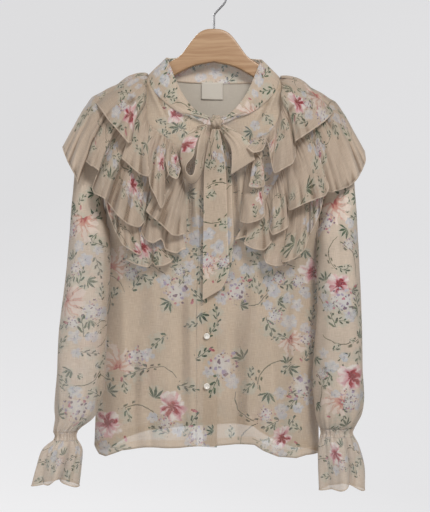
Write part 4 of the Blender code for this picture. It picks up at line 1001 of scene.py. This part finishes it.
def make_sleeve(side_name):
    side = -1 if side_name == "left" else 1
    rings = SLEEVE[side_name]
    first, last = rings[0][0], rings[-1][0]
    drop, x, half_w, half_d, y, rise = resampled(rings, 190, [0, 1]).T[..., None]
    angle = np.linspace(0, 2 * math.pi, 97)
    swell = np.zeros((len(drop), len(angle)))
    for at, cd, length, width, depth, turn in SLEEVE_CREASES:
        off = (np.degrees(angle) - at - turn * (drop - cd) + 180) % 360 - 180
        swell += crease(off, width, drop - cd, length, depth)
    gather = np.exp(-(last - drop) / 22)
    swell += gather * 1.9 * cuff_pleat(angle)
    swell += 1.8 * ease(last - 90, last - 25, drop) * (1 - gather) * np.sin(angle * 8 + 1.0)
    swell += 0.5 * lattice_noise(np.cos(angle) * 3 + 7, drop / 30 + np.sin(angle) * 2, 4)
    swell *= 0.25 + 0.75 * ease(first, first + 45, drop)
    towards_body = 5.5 * ease(199, 218, drop) + 4.5 * ease(235, 262, drop) - 4.5 * ease(330, 460, drop)
    swell += towards_body * (1 - ease(560, 600, drop)) * np.maximum(0, -np.cos(angle)) ** 2
    ring_x = x + side * (half_w + swell) * np.cos(angle)
    ring_y = y - (half_d + swell) * np.sin(angle)
    ring_d = drop - rise * np.cos(angle) - TILT * ring_x
    around = angle - math.pi / 2
    uv = stacked(-side * SLEEVE_RADIUS * around, ring_d)
    # The upper sleeve lies doubled, and the right one is denser all over.
    cap = 0.34 * (1 - ease(290, 345, drop)) + (0.16 if side > 0 else 0.0)
    cloth("sleeve_" + side_name, stacked(ring_x, ring_y, ring_d), lit_sleeve_chiffon, SLEEVE_PRINT[side_name], uv, True,
          axis=(rings[6][1], rings[6][4]), dense=cap,
          flat=(0.2, 0.46), held="hung", rests_on=["front_" + side_name])

    drop, x, half_w, half_d, y, _ = rings[-1]
    v = np.linspace(0, 1, 14)[:, None]
    angle = np.linspace(0, 2 * math.pi, 161)
    around = angle - math.pi / 2
    bulge = -1.6 * np.sin(math.pi * v) + (1.9 - 0.5 * v) * cuff_pleat(angle) + 0.5 * np.sin(angle * 31 + 4 * v)
    ring_x = x + side * (half_w + bulge) * np.cos(angle)
    ring_y = y - (half_d + bulge) * np.sin(angle)
    ring_d = drop + 0.6 + (CASING_HEIGHT + 0.8) * v + 0.7 * np.sin(angle * 7 + 2) * (2 * v - 1) - TILT * ring_x
    cloth("cuff_casing_" + side_name, stacked(ring_x, ring_y, ring_d), lit_sleeve_chiffon, SLEEVE_PRINT[side_name],
          stacked(-side * CASING_RADIUS * around, ring_d), True, wall=THICK_WALL, axis=(x, y),
          flat=(0.19, 0.013), held="gathered", rests_on=["sleeve_" + side_name])

    below, shift, wide, deep, wave = resampled(FLOUNCE[side_name], 44).T[..., None]
    t = np.linspace(0, 1, 44)[:, None]
    lobes = np.sin(5 * angle) + 0.35 * np.sin(3 * angle + 1.0)
    swell = wave * lobes + 2.2 * t ** 1.3 * np.sin(9 * angle + 1.3) + 1.4 * (1 - t) ** 1.5 * cuff_pleat(angle)
    ring_x = x + shift + (wide + swell) * np.cos(angle)
    ring_y = y - (deep + swell) * np.sin(angle)
    notch, depth, width = FLOUNCE_NOTCH[side_name]
    ring_d = drop + CASING_HEIGHT + 2.0 + below + 0.3 * wave * (lobes + 0.4 * np.sin(2 * angle))
    ring_d = ring_d - depth * t ** 4 * bell(np.degrees(angle), notch, width) - TILT * ring_x
    bunches = [("blue", -60, 676, 0.8, 0), ("twig", -12, 690, 0.8, 30),
               ("crimson" if side > 0 else "blue", 12, 672, 0.7, 10), ("twig", 50, 690, 0.8, 0),
               ("blue", 90, 684, 0.8, 60), ("fan", 130, 690, 0.7, 0), ("twig", 170, 690, 0.8, 0)]
    cloth("cuff_flounce_" + side_name, stacked(ring_x, ring_y, ring_d), lit_sleeve_chiffon, bunches,
          stacked(FLOUNCE_RADIUS * around, 650 + below), True, edge=below[-1] - below, rolled=True, axis=(x, y),
          flat=(0.26, 0.075), held="gathered", rests_on=["cuff_casing_" + side_name])


# ---------------------------------------------------------------- collar and bow
NECK_SIDE = 103                         # x where the neck meets the shoulder
SEAM_IN_BACK, SEAM_OUT_FRONT = 3.4, 1.5     # how far the collar's seam lies off the body's cloth
OUTER_SHARE = 0.62                      # share of the left loop's width that faces outwards
LEFT_LOOP_WIDTH, WIDE_RIBBON = 30, 40   # width of the ribbon that the print is laid out on


def ribbon(node, grid, bunches, width, length, t, **more):
    """A piece of the tie, cut as a strip: length runs along it and t across it."""
    cloth(node, grid, double_chiffon, bunches, stacked(length, width * (t - 0.5)), edge=np.minimum(t, 1 - t) * width,
          wall=THICK_WALL, folds=1.0, held="folded", rests_on=["bow_knot"], **more)


def make_collar():
    lines = []
    for face, seam_x, x, drop, y in BAND:
        seam_drop = float(look_up(NECK_BACK if face < 0 else NECK_FRONT, seam_x))
        seam_y = float(body_y(seam_x, seam_drop, face, False)) if seam_x < NECK_SIDE else 0.0
        if face < 0:
            seam_y, seam_drop = seam_y - SEAM_IN_BACK, seam_drop + 3.0
        lines.append((seam_x, seam_y - (SEAM_OUT_FRONT if face > 0 else 0), seam_drop - 0.4, x, y, drop))
    for low_x, low_drop, low_y, x, drop, y in BAND_END:
        lines.append((low_x, low_y, low_drop, x, y, drop))
    half = resampled(lines, 110)
    other = half[1:][::-1].copy()
    other[:, [0, 3]] *= -1
    rows = np.concatenate([other, half])
    low, high = rows[:, :3], rows[:, 3:]
    t = np.linspace(0, 1, 22)
    belly = np.sin(math.pi * t)
    length = travel(high)
    length = (length - length.mean())[:, None]
    shift = np.where(low[:, 1] < -30, KNOT_CENTRE[0] * ease(40, 12, np.abs(low[:, 0])), 0.0)[:, None]
    x, y, drop = (low + (high - low) * t[:, None, None]).T
    x = x + shift
    y = y - np.where(low[:, 1] < 0, 2.5, -2.5)[:, None] * belly
    near_knot = ease(120, 210, np.abs(length))
    y = y + (0.8 + 0.8 * near_knot) * np.sin(t * 8.0 + length / 22) * belly
    y = y + 1.5 * lattice_noise(length / 18, t * 2.5, 6) * belly
    # The collar's back leans in to the neck and its top edge dips a little unevenly.
    at_back = ease(3, 15, high[:, 1])[:, None]
    y = y - at_back * (6.5 * t ** 1.4 + 1.2 * np.sin(length / 21 + 1) * t)
    drop = drop + at_back * (1.0 + np.sin(length / 17)) * t ** 2
    wide = np.linalg.norm(low - high, axis=1)[:, None]
    rng = random.Random(3)
    bunches = [(("blue", "twig", "blue", "fan")[k % 4], -230 + 58 * k, rng.uniform(-12, 12), 0.8, 70 * k)
               for k in range(9)]
    cloth("collar_band", stacked(x, y, drop), double_chiffon, bunches, stacked(length, -wide * (t - 0.5)),
          edge=np.minimum(t, 1 - t) * 40 + 1.0, wall=THICK_WALL,
          flat=(0.5, 0.04), held="hung", rests_on=["back", "front_left"], area=0.0145)


def make_knot():
    """A soft wrapped knot: a pinched ball whose folds run across it."""
    x, drop, y = KNOT_CENTRE
    width, depth, height = KNOT_SIZE
    v = np.linspace(0.02, 0.98, 30)[:, None] * math.pi
    a = np.linspace(0, 2 * math.pi, 49)
    nx, ny, nz = np.sin(v) * np.cos(a), np.sin(v) * np.sin(a), np.cos(v)
    pleat = 1 + 0.1 * np.sin(7 * nx + 4 * nz + 0.6) + 0.06 * np.sin(15 * nx - 5 * nz) - 0.12 * np.maximum(nx * nz, 0)
    grid = stacked(x + width / 2 * 0.92 * nx * pleat, y + depth / 2 * ny * pleat,
                   drop - height / 2 * nz * (0.92 + 0.08 * np.cos(2 * a)) * pleat)
    cloth("bow_knot", grid, double_chiffon, [("twig", 44, 14, 0.6, 90)], stacked(a * 9, v * 9), True,
          wall=THICK_WALL, axis=(x, y), folds=1.0,
          flat=(0.045, 0.025), held="folded", rests_on=["collar_band"])


def make_left_loop():
    """A loop seen into its mouth: from the rim round the outer side to the back, which lies behind the mouth."""
    rows = resampled(LOOP_LEFT, 150, [0, 1])
    near = ease(156, 190, rows[:, 1])[:, None]
    t = np.linspace(0, 1, 24)
    knot_y = KNOT_CENTRE[2] - 8
    behind = ease(OUTER_SHARE, 1.0, t)
    out = np.sin(math.pi * np.minimum(t / OUTER_SHARE, 1) / 2) ** 1.2 * (1 - 0.75 * behind)
    rim_y, side_y, back_y = LOOP_LEFT_Y
    y = rim_y + (side_y - rim_y) * ease(0, OUTER_SHARE, t) + (back_y - side_y) * behind
    grid = stacked(rows[:, 2:3] + (rows[:, 0:1] - rows[:, 2:3]) * out, knot_y + (y - knot_y) * near,
                   rows[:, 3:4] + (rows[:, 1:2] - rows[:, 3:4]) * out)
    length = travel(grid[:, 10])[:, None]
    end = np.minimum(length, length[-1] - length)
    grid[..., 1] -= np.sin(t * 13 + 1) * (np.exp(-end / 28) * 1.5) * np.sin(math.pi * t)
    grid[..., 0] += 0.5 * lattice_noise(length / 16, t * 2, 2)
    bunches = [("crimson", 52, -4, 0.62, 0), ("twig", 26, 0, 0.7, 90), ("twig", 150, 0, 0.5, 0)]
    ribbon("bow_loop_left", grid, bunches, LEFT_LOOP_WIDTH, length, t, flat=(0.21, 0.021))


def make_right_loop():
    """A loop seen from its side: the ribbon runs out from the knot and back behind itself."""
    out = resampled(LOOP_RIGHT, 56)
    rows = np.concatenate([out, out[::-1]])
    at = np.linspace(0, 7, len(out))
    apart = 8.0 * ease(0, 3, 7 - at) * ease(-1, 3, at)
    rows[:len(out), [2, 5]] -= 1.0
    rows[len(out):, [2, 5]] += (apart + 1.0)[::-1, None]
    t = np.linspace(0, 1, 26)
    belly = np.sin(math.pi * t)
    high, low = rows[:, None, [0, 2, 1]], rows[:, None, [3, 5, 4]]
    grid = high + (low - high) * t[:, None]
    grid[..., 1] -= 2 * belly
    length = travel(grid[:, 13])[:, None]
    end = np.minimum(length, length[-1] - length)
    folds = 3.4 * bell(t, 0.62, 0.09) - 3.0 * bell(t, 0.46, 0.08)
    grid[..., 1] -= (np.sin(t * 15) * np.exp(-end / 22) * 1.8 + folds * np.exp(-end / 34)) * belly
    ribbon("bow_loop_right", grid, [("twig", 20, -8, 0.8, 40), ("twig", 100, 0, 0.8, 0)], WIDE_RIBBON, length, t,
           flat=(0.13, 0.04), area=0.0042)


def make_tail(node, table, slant, flat, bunches):
    """An end of the tie. slant is how far its end is cut on the slant."""
    first, last = table[0][0], table[-1][0]
    drop, left, right, y = resampled(table, 150, [0]).T[..., None]
    t = np.linspace(0, 1, 26)
    ripple = 0.8 * np.sin(drop / 18) * np.sin(math.pi * t) + 1.3 * np.exp(-(drop - first) / 35) * np.sin(t * 14)
    ripple = ripple + 0.9 * bell(t, 0.42, 0.1) * ease(180, 260, drop) + 0.6 * lattice_noise(t * 3, drop / 26, 9)
    tip = ease(first, last, drop) ** 3
    grid = stacked(left + (right - left) * t, y + ripple * np.sin(math.pi * t) ** 0.5,
                   drop + slant * tip * (1 - 2 * t) * 0.6)
    cloth(node, grid, double_chiffon, bunches, stacked(WIDE_RIBBON * (t - 0.5), drop),
          edge=np.minimum(np.minimum(t, 1 - t) * 36, last - drop + 0.6), wall=THICK_WALL,
          flat=flat, held="hung", rests_on=["bow_knot"])


# ---------------------------------------------------------------- ruffles
FORWARD_LIMIT = -77.0       # y from which the folds are held back
FORWARD_GIVE = 6.0          # how much further they may still go
CAPE_ROUND = 6              # roundness of the cape's ridge
SEWN_GAP = 3.3              # how far the sewn edge lies off the shoulder and the panel
RUFFLE_ROWS, MIDDLE_ROW = 34, 20


def cape_point(x, w):
    """A point of the surface that the ruffles lie on: w is how far it hangs below its ridge, less than 0 behind."""
    below = np.abs(w)
    face = np.where(w >= 0, 1.0, -1.0)
    drop = look_up(RIDGE, np.abs(x)) + np.hypot(below, CAPE_ROUND) - CAPE_ROUND
    slow = np.where(w >= 0, 36.0, 24.0)
    reach = np.where(w >= 0, 80.0, 90.0)
    narrow = 1 - 0.35 * ease(200, 245, np.abs(x))
    return stacked(x, -face * (12 * np.tanh(below / 8) + slow * (1 - np.exp(-below / reach))) * narrow, drop)


def cape_normal(x, w):
    along = cape_point(x + 2, w) - cape_point(x - 2, w)
    down = cape_point(x, w + 2) - cape_point(x, w - 2)
    normal = np.cross(down, along)
    flip = ((normal[..., 2] > 0) & (np.abs(w) < 20)) | (normal[..., 1] * np.where(w > 0, 1, -1) > 0)
    return unit(np.where(flip[..., None], -normal, normal))


def sewn_shift(seam_x, seam_w):
    """How far the sewn edge lies from its place on the cape: it is drawn to the shoulder and the panel below."""
    start = cape_point(seam_x, seam_w)
    face = np.where(seam_w > 0, 1.0, -1.0)
    shoulder = look_up(SHOULDER, np.abs(seam_x))
    drop = np.maximum(start[:, 2], shoulder - SEWN_GAP)
    panel_y = np.where(face > 0, body_y(seam_x, drop, 1, False), body_y(seam_x, drop, -1, False))
    y = np.where(drop > shoulder, panel_y - face * SEWN_GAP, start[:, 1])
    return stacked(start[:, 0], y, drop) - start - cape_normal(seam_x, seam_w)


def make_ruffle(side_name, tier):
    side = -1 if side_name == "left" else 1
    table = []
    for face, seam_x, seam_drop, edge_x, edge_drop, lift in TIERS[side_name, tier]:
        seam_w, edge_w = (face * max(0, drop - float(look_up(RIDGE, x)) - TILT * side * x)
                          for x, drop in ((seam_x, seam_drop), (edge_x, edge_drop)))
        table.append((side * seam_x, seam_w, side * edge_x, edge_w, lift))
    positions = even_positions(table, 10 * len(table) + 40, [2, 3, 4])
    straight = np.array([np.interp(positions, np.arange(len(table)), column) for column in zip(*table)]).T
    rows = 0.5 * smooth_rows(table, positions) + 0.5 * straight
    t = np.linspace(0, 1, RUFFLE_ROWS)
    seam_x, seam_w, edge_x, edge_w, lift = rows.T[..., None]
    x = seam_x + (edge_x - seam_x) * t
    w = seam_w + (edge_w - seam_w) * t
    length = travel(rows[:, [0, 1]])[:, None]
    edge_length = travel(rows[:, [2, 3]])[:, None]
    gather = 1.9 * np.sin(length * 0.8 + 1.5 * np.sin(length * 0.21)) * np.exp(-t * 5) * (1 - np.exp(-t * 40))
    wave = np.sin(edge_length / 6.4 + 1.7 * np.sin(edge_length / 19) + tier)
    ripple = 1.9 * t ** 1.1 * wave + 4.6 * t * lattice_noise(edge_length / 12, t * 1.1 + 5, tier)
    crumple = lattice_noise(length / 7 + t * 1.5, t * 1.6 + 9, tier + 30)
    ripple = (ripple + 1.7 * crumple * np.sin(math.pi * t) ** 0.7) * (0.15 + 0.85 * ease(0, 16, edge_length))
    base = TIER_BASE[tier] * (0.45 + 0.55 * ease(0, 60, np.abs(w)))
    height = 1.0 + (base - 1.0) * (1 - (1 - t) ** 2) + LIFT_GAIN * lift * t ** 1.2 + gather + ripple
    if tier == 1:
        # The top tier arches over the shoulder and rolls over beside the neck.
        height = height + 6.0 * bell(w, 0, 26) * np.sin(math.pi * np.minimum(t / 0.55, 1))
        beside_neck = bell(seam_w, 42, 26) * (0.75 + 0.45 * lattice_noise(length / 11, 0 * length, 12))
        roll = beside_neck * np.sin(math.pi * np.minimum(t / 0.42, 1))
        x = x - side * 10.0 * roll
        height = height + 4.0 * roll
    points = cape_point(x, w) + cape_normal(x, w) * height[..., None]
    points = points + sewn_shift(rows[:, 0], rows[:, 1])[:, None] * ((1 - t) ** 2.5)[:, None]
    wide = np.linalg.norm(points[:, -1] - points[:, 0], axis=1)[:, None]
    middle = travel(points[:, MIDDLE_ROW])[:, None]
    # The free edge stands where its table puts it, seen from the front.
    edge_x, edge_y, edge_drop = points[:, -1].T
    shrink = 1 + np.minimum(edge_y, 0.0) / VIEW_DISTANCE
    aim_x = VIEW_X + (x[:, -1] - VIEW_X) * shrink
    aim_drop = VIEW_DROP + (look_up(RIDGE, np.abs(x[:, -1])) + np.abs(w[:, -1]) - VIEW_DROP) * shrink
    points = points + stacked(aim_x - edge_x, 0.0, aim_drop - edge_drop)[:, None] * (t ** 2)[:, None]
    # Folds flatten where they would stand further forward than the cape does.
    beyond = np.maximum(FORWARD_LIMIT - points[..., 1], 0)
    points[..., 1] += beyond - FORWARD_GIVE * np.tanh(beyond / FORWARD_GIVE)
    bunches = [(name, float(np.interp(at, positions, middle[:, 0])), away, size, turn)
               for name, at, away, size, turn in RUFFLE_PRINT[side_name, tier]]
    grid = np.transpose(points, (1, 0, 2))
    cloth("ruffle_%s_%d" % (side_name, tier), grid, shaded_ruffle_chiffon, bunches, stacked(middle.T, wide.T * t[:, None]),
          edge=wide.T * (1 - t)[:, None], rolled=True, folds=1.35, dense=0.3 * ease(190, 216, np.abs(grid[..., 0])),
          flat=(float(middle[-1, 0]) * MM, float(wide.mean()) * MM), held="gathered",
          rests_on=["front_" + side_name])


# ---------------------------------------------------------------- hanger and buttons
WOOD_UPPER = [(0, 0), (12, 1), (23, 6), (31, 14), (40, 26), (52, 42), (66, 51.5), (80, 61.5), (103, 86),
              (150, 107), (178, 121)]
WOOD_LOWER = [(182, 128), (150, 117), (103, 97), (65, 76), (32, 59), (0, 52)]
WOOD_REACH = 181.0
WOOD_HALF = 6.0
WOOD_CORNER = 3.0
WOOD_SQUARENESS = 0.22      # power that squares the board's section
HOOK_RADIUS = 19.0
WIRE_RADIUS = 1.6
# Share of the radius and of the thickness, from the middle of a button's back round its rim to its front.
BUTTON_PROFILE = [(0.0, 0.50), (0.30, 0.50), (0.42, 0.56), (0.52, 0.74), (0.62, 0.92), (0.74, 1.0), (0.88, 0.97),
                  (0.97, 0.84), (1.0, 0.62), (1.0, 0.4), (0.95, 0.15), (0.85, 0.0), (0.0, 0.0)]


def make_wood_board():
    """The flat wood, cut from a board with all its edges rounded over."""
    xs = WOOD_REACH * np.sin(np.linspace(-1, 1, 121) * math.pi / 2)
    top, low = (np.interp(np.abs(xs), *curve[np.argsort(curve[:, 0])].T)[:, None]
                for curve in (resampled(WOOD_UPPER, 90), resampled(WOOD_LOWER, 70)))
    low = np.maximum(low, top + 1.0)
    half = (low - top) / 2
    corner = np.minimum(WOOD_CORNER, half)
    around = np.linspace(0, 2 * math.pi, 41)[:-1]
    y, h = (size * np.sign(c) * np.abs(c) ** WOOD_SQUARENESS
            for size, c in ((WOOD_HALF, np.cos(around)), (half, np.sin(around))))
    over = np.hypot(np.maximum(np.abs(y) - (WOOD_HALF - corner), 0), np.maximum(np.abs(h) - (half - corner), 0))
    scale = corner / np.maximum(over, 1e-6)
    y, h = (np.where(over > corner, np.sign(p) * (size - corner + (np.abs(p) - size + corner) * scale), p)
            for p, size in ((y, WOOD_HALF), (h, half)))
    points = to_world(stacked(xs[:, None], y, (low + top) / 2 + h))
    rows, used = points.shape[:2]
    ends = [range(used), [(rows - 1) * used + k for k in reversed(range(used))]]
    faces = [*quads(rows, used, True, True), *ends]
    stand_for(new_object("hanger_board", points, faces, wood), "hanger_wood")


def make_hook():
    radius = HOOK_RADIUS * MM
    middle_z = WIRE_RADIUS * MM - radius
    bend = middle_z - math.sqrt(2) * radius
    points = [(0, 0, -(CROWN_BELOW_HOOK - 0.3) * MM), (0, 0, bend - 0.018), (0, 0, bend - 0.008),
              (0, 0, bend - 0.003), (0.0012, 0, bend + 0.0004), (0.004, 0, bend + 0.0036)]
    for angle in np.radians(np.linspace(-45, 193, 49)):
        points.append((radius * math.cos(angle), 0, middle_z + radius * math.sin(angle)))
    wire = bpy.data.curves.new("hook_wire", "CURVE")
    wire.dimensions = "3D"
    wire.bevel_depth = WIRE_RADIUS * MM
    wire.bevel_resolution = 5
    wire.use_fill_caps = True
    line = wire.splines.new("POLY")
    line.points.add(len(points) - 1)
    for point, position in zip(line.points, points):
        point.co = (*position, 1)
        point.radius = 1.0
    line.use_smooth = True
    wire.materials.append(steel)
    stand_for(link_to_scene(bpy.data.objects.new("hook_wire", wire)), "hanger_hook")


def turned(profile, centre, turns):
    """Points of a turned form: radius and height rows, round an upright axis."""
    angle = 2 * math.pi * np.arange(turns) / turns
    radius, height = np.array(profile, dtype=float).T[..., None]
    return stacked(centre[0] + radius * np.cos(angle), centre[1] + radius * np.sin(angle), height)


def make_buttons():
    for k in range(5):
        node = "button_%d" % (k + 1)
        low, high = (np.array(corner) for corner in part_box(node))
        size = high - low
        profile = [(share * size[0] / 2, high[1] - rise * size[1]) for share, rise in BUTTON_PROFILE]
        points = turned(profile, ((low + high) / 2)[[0, 2]], 48)[..., [0, 2, 1]]
        made = new_object(node + "_pearl", points, quads(len(profile), 48, True, True), pearl)
        made.modifiers.new("weld", "WELD").merge_threshold = 0.00002
        stand_for(made, node)


# ---------------------------------------------------------------- stage
CAMERA_PLACE = (0.0015, -2.0, -0.4245)
LENS, SENSOR = 89.5, 36.0
FLOOR_Z, WALL_REACH, WALL_BEND, WALL_HEIGHT, WALL_TURNS = -1.45, 4.8, 1.2, 4.5, 64
AIM = (0, 0, -0.4)
# Name, place, size, power and tint.
LAMPS = [("window", (1.3, -3.7, 2.0), 1.2, 126, (1.0, 0.99, 0.975)),
         ("fill", (-3.0, -3.2, 0.4), 2.2, 34, (0.98, 0.985, 1.0)),
         ("rear", (-1.5, 3.6, 1.5), 2.0, 78, (1.0, 0.99, 0.975))]


def make_wall():
    """A round studio: the floor turns up into the wall all round, far behind every camera."""
    tools = Shader("studio_wall", 0.9, specular=0.2)
    soft = tools.noise(tools.object_position(), 0.5)
    tools.feed("Base Color", tools.mix(soft, colour(148, 148, 150), colour(150, 150, 151)))
    tools.fix(Emission_Color=(0.985, 0.985, 1.0, 1), Emission_Strength=0.585)
    flat = WALL_REACH - WALL_BEND
    profile = [(0.01, FLOOR_Z), (2.0, FLOOR_Z), (flat, FLOOR_Z)]
    for angle in math.pi / 2 * np.arange(1, 12) / 12:
        profile.append((flat + WALL_BEND * math.sin(angle), FLOOR_Z + WALL_BEND - WALL_BEND * math.cos(angle)))
    profile += [(WALL_REACH, FLOOR_Z + WALL_BEND), (WALL_REACH, FLOOR_Z + WALL_HEIGHT)]
    points = turned(profile, (0, 0), WALL_TURNS)
    wall = new_object("studio_wall", points, quads(len(profile), WALL_TURNS, True), tools.material)
    wall.visible_diffuse = False
    wall.visible_glossy = False
    wall.visible_shadow = False


def make_light_and_camera():
    world = bpy.data.worlds.new("soft_daylight")
    world.use_nodes = True
    world.node_tree.nodes["Background"].inputs[0].default_value = (1.0, 0.985, 0.965, 1)
    world.node_tree.nodes["Background"].inputs[1].default_value = 0.30
    bpy.context.scene.world = world
    for name, place, size, power, tint in LAMPS:
        lamp = bpy.data.lights.new(name, "AREA")
        lamp.size = size
        lamp.energy = power
        lamp.color = tint
        made = link_to_scene(bpy.data.objects.new(name, lamp))
        made.location = place
        made.rotation_euler = (Vector(AIM) - Vector(place)).to_track_quat("-Z", "Y").to_euler()

    camera = bpy.data.cameras.new("camera")
    camera.sensor_width = SENSOR
    camera.lens = LENS
    made = link_to_scene(bpy.data.objects.new("camera", camera))
    made.location = CAMERA_PLACE
    made.rotation_euler = (math.pi / 2, 0, 0)
    bpy.context.scene.camera = made
    bpy.context.scene.view_settings.view_transform = "Standard"


make_fronts()
make_placket()
make_back()
make_lining()
make_sleeve("left")
make_sleeve("right")
make_collar()
make_knot()
make_left_loop()
make_right_loop()
make_tail("tie_tail_front", TAIL_FRONT, 14, (0.037, 0.262),
          [("twig", -4, 196, 0.8, 0), ("blue", 12, 206, 0.6, 60), ("twig", 14, 250, 0.8, 30),
           ("blue", 4, 345, 1.0, 0), ("fan", -8, 372, 0.7, 0), ("twig", -6, 300, 0.8, 90)])
make_tail("tie_tail_back", TAIL_BACK, 8, (0.026, 0.213),
          [("blue", 0, 215, 0.8, 0), ("twig", 8, 262, 0.8, 0), ("blue", 6, 330, 0.9, 40)])
for key in TIERS:
    make_ruffle(*key)
make_wood_board()
make_hook()
make_buttons()
make_wall()
make_light_and_camera()
